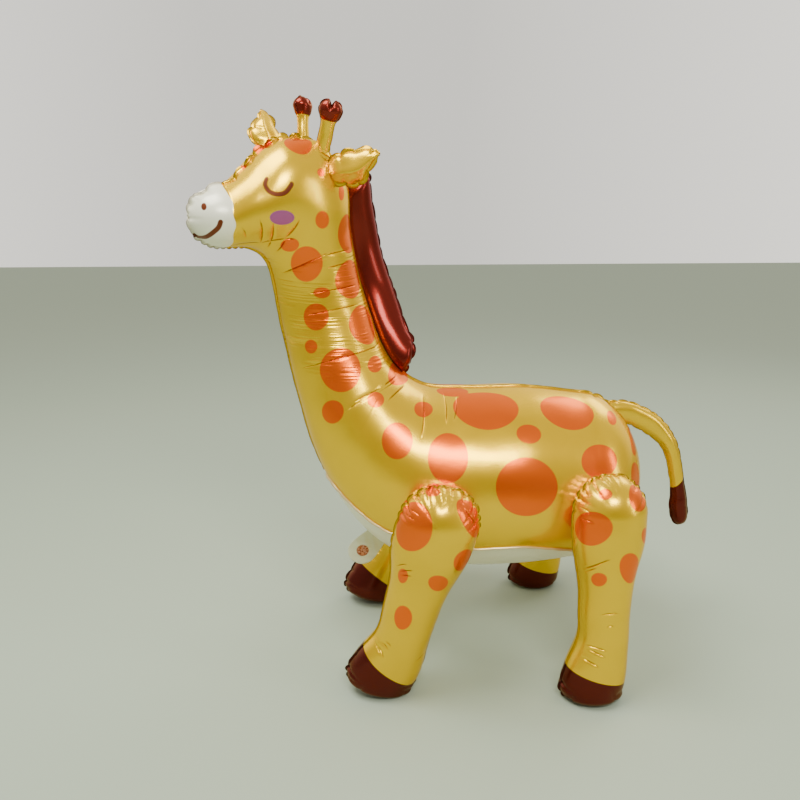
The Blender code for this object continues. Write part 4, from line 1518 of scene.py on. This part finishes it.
def clear_film(name):
    """Thin polyethylene: milky, slightly see-through, softly glossy, with a coppery disc on it."""
    material = bpy.data.materials.new(name)
    material.use_nodes = True
    tree = material.node_tree
    tree.nodes.clear()
    mask = mark_mask(tree, "disc", TAB_DISC_BLUR)
    place = add_node(tree, "ShaderNodeTexCoord").outputs["Object"]
    sockets = {"Vector": place, "Scale": repeats(TAB_SPECK), "Detail": 1.0}
    speck = add_node(tree, "ShaderNodeTexNoise", sockets).outputs["Fac"]
    sockets = {"Value": speck, "From Min": 0.42, "From Max": 0.60}
    specks = add_node(tree, "ShaderNodeMapRange", sockets).outputs["Result"]
    copper, rose, milk = ((*linear(tint), 1.0) for tint in ("#A0501C", "#E2A488", "#E9EBC9"))
    sockets = {SHARE: specks, LOW_COLOUR: copper, HIGH_COLOUR: rose}
    speckled = add_node(tree, "ShaderNodeMix", sockets, data_type="RGBA").outputs[COLOUR_OUT]
    sockets = {SHARE: mask, LOW_COLOUR: milk, HIGH_COLOUR: speckled}
    colour = add_node(tree, "ShaderNodeMix", sockets, data_type="RGBA").outputs[COLOUR_OUT]
    sockets = {SHARE: mask, LOW_VALUE: 0.1, HIGH_VALUE: 0.6}
    shine = add_node(tree, "ShaderNodeMix", sockets).outputs[VALUE_OUT]
    sockets = {"Vector": place, "Scale": repeats(TAB_CRINKLE), "Detail": 2.0}
    crinkle = add_node(tree, "ShaderNodeTexNoise", sockets).outputs["Fac"]
    sockets = {"Strength": 0.5, "Distance": 0.001, "Height": crinkle}
    normal = add_node(tree, "ShaderNodeBump", sockets).outputs["Normal"]
    sockets = {
        "Base Color": colour,
        "Metallic": shine,
        "Roughness": 0.25,
        "Alpha": 0.92,
        "Normal": normal,
    }
    shader = add_node(tree, "ShaderNodeBsdfPrincipled", sockets)
    output = add_node(tree, "ShaderNodeOutputMaterial")
    tree.links.new(shader.outputs["BSDF"], output.inputs["Surface"])
    return material


class SetStage(bpy.types.Operator):
    """Sets a pale floor, soft studio lights and the camera"""

    bl_idname = "balloon.set_stage"
    bl_label = "Set Stage"

    def execute(self, context):
        scene = context.scene
        bpy.ops.object.select_all(action="DESELECT")
        bpy.ops.mesh.primitive_plane_add(size=FLOOR_SIZE, location=(0.0, 0.0, -FLOOR_DROP))
        floor = context.object
        floor.name = "studio_floor"
        floor.data.materials.append(self.floor_paint())
        scene.world = self.studio_air()
        for name, place, target, size, share in LIGHTS:
            self.soft_light(name, place, target, size, share * scene.balloon_looks.light_power)
        self.place_camera(scene)
        return {"FINISHED"}

    def studio_air(self):
        """A dim room that is brighter above and behind the balloon, where a lit wall would be."""
        world = bpy.data.worlds.new("studio")
        world.use_nodes = True
        tree = world.node_tree
        way = add_node(tree, "ShaderNodeTexCoord").outputs["Generated"]
        parts = add_node(tree, "ShaderNodeSeparateXYZ", {"Vector": way})
        bands = []
        for axis, low, high, dim, bright in (ROOM_BEHIND, ROOM_ABOVE, ROOM_SIDES):
            value = parts.outputs[axis]
            if axis == "X":
                value = add_node(tree, "ShaderNodeMath", {0: value}, operation="ABSOLUTE").outputs[0]
            sockets = {"Value": value, "From Min": low, "From Max": high}
            sockets.update({"To Min": dim, "To Max": bright})
            bands.append(add_node(tree, "ShaderNodeMapRange", sockets).outputs["Result"])
        behind, above, across = bands
        total = add_node(tree, "ShaderNodeMath", {0: behind, 1: above}, operation="ADD").outputs[0]
        strength = add_node(tree, "ShaderNodeMath", {0: total, 1: across}, operation="MULTIPLY")
        sky = tree.nodes["Background"]
        sky.inputs["Color"].default_value = (*linear(ROOM_COLOUR), 1.0)
        tree.links.new(strength.outputs[0], sky.inputs["Strength"])
        return world

    def floor_paint(self):
        """Rolled wall paint: a flat pale green that spreads the light and mirrors nothing."""
        material = bpy.data.materials.new("matte_floor_paint")
        material.use_nodes = True
        shader = material.node_tree.nodes["Principled BSDF"]
        shader.inputs["Base Color"].default_value = (*linear(FLOOR_COLOUR), 1.0)
        shader.inputs["Roughness"].default_value = 0.75
        return material

    def soft_light(self, name, place, target, size, power):
        """A flat rectangular light that faces its target."""
        light = bpy.data.lights.new(name, "AREA")
        light.shape = "RECTANGLE"
        light.size, light.size_y = size
        light.energy = power
        lamp = bpy.data.objects.new(name, light)
        lamp.location = place
        aim = Vector(target) - Vector(place)
        lamp.rotation_euler = aim.to_track_quat("-Z", "Y").to_euler()
        bpy.context.scene.collection.objects.link(lamp)

    def place_camera(self, scene):
        """The photograph's viewpoint: slightly above the balloon's back, off its left side."""
        camera = bpy.data.cameras.new("camera")
        camera.lens = CAMERA_LENS
        camera.sensor_width = CAMERA_SENSOR
        eye = bpy.data.objects.new("camera", camera)
        eye.location = CAMERA_PLACE
        turn, dip = math.radians(CAMERA_TURN), math.radians(CAMERA_DIP)
        level = math.cos(dip)
        aim = Vector((math.sin(turn) * level, math.cos(turn) * level, -math.sin(dip)))
        eye.rotation_euler = aim.to_track_quat("-Z", "Y").to_euler()
        scene.collection.objects.link(eye)
        scene.camera = eye


class BalloonPanel(bpy.types.Panel):
    """Sidebar panel with the balloon's settings and steps"""

    bl_idname = "VIEW3D_PT_foil_balloon"
    bl_label = "Giraffe Balloon"
    bl_space_type = "VIEW_3D"
    bl_region_type = "UI"
    bl_category = "Balloon"

    def draw(self, context):
        column = self.layout.column()
        for name in BalloonLooks.__annotations__:
            column.prop(context.scene.balloon_looks, name)
        for operator in STEPS:
            column.operator(operator.bl_idname)


STEPS = (
    InflateBody,
    InflateLegs,
    InflateMane,
    InflateTail,
    InflateEars,
    InflateHorns,
    FitTab,
    SetStage,
)


def register():
    bpy.utils.register_class(BalloonLooks)
    for operator in STEPS:
        bpy.utils.register_class(operator)
    bpy.utils.register_class(BalloonPanel)
    bpy.types.Scene.balloon_looks = PointerProperty(type=BalloonLooks)


def unregister():
    del bpy.types.Scene.balloon_looks
    bpy.utils.unregister_class(BalloonPanel)
    for operator in reversed(STEPS):
        bpy.utils.unregister_class(operator)
    bpy.utils.unregister_class(BalloonLooks)


def main():
    register()
    bpy.ops.balloon.inflate_body()
    bpy.ops.balloon.inflate_legs()
    bpy.ops.balloon.inflate_mane()
    bpy.ops.balloon.inflate_tail()
    bpy.ops.balloon.inflate_ears()
    bpy.ops.balloon.inflate_horns()
    bpy.ops.balloon.fit_tab()
    bpy.ops.balloon.set_stage()


if __name__ == "__main__":
    main()
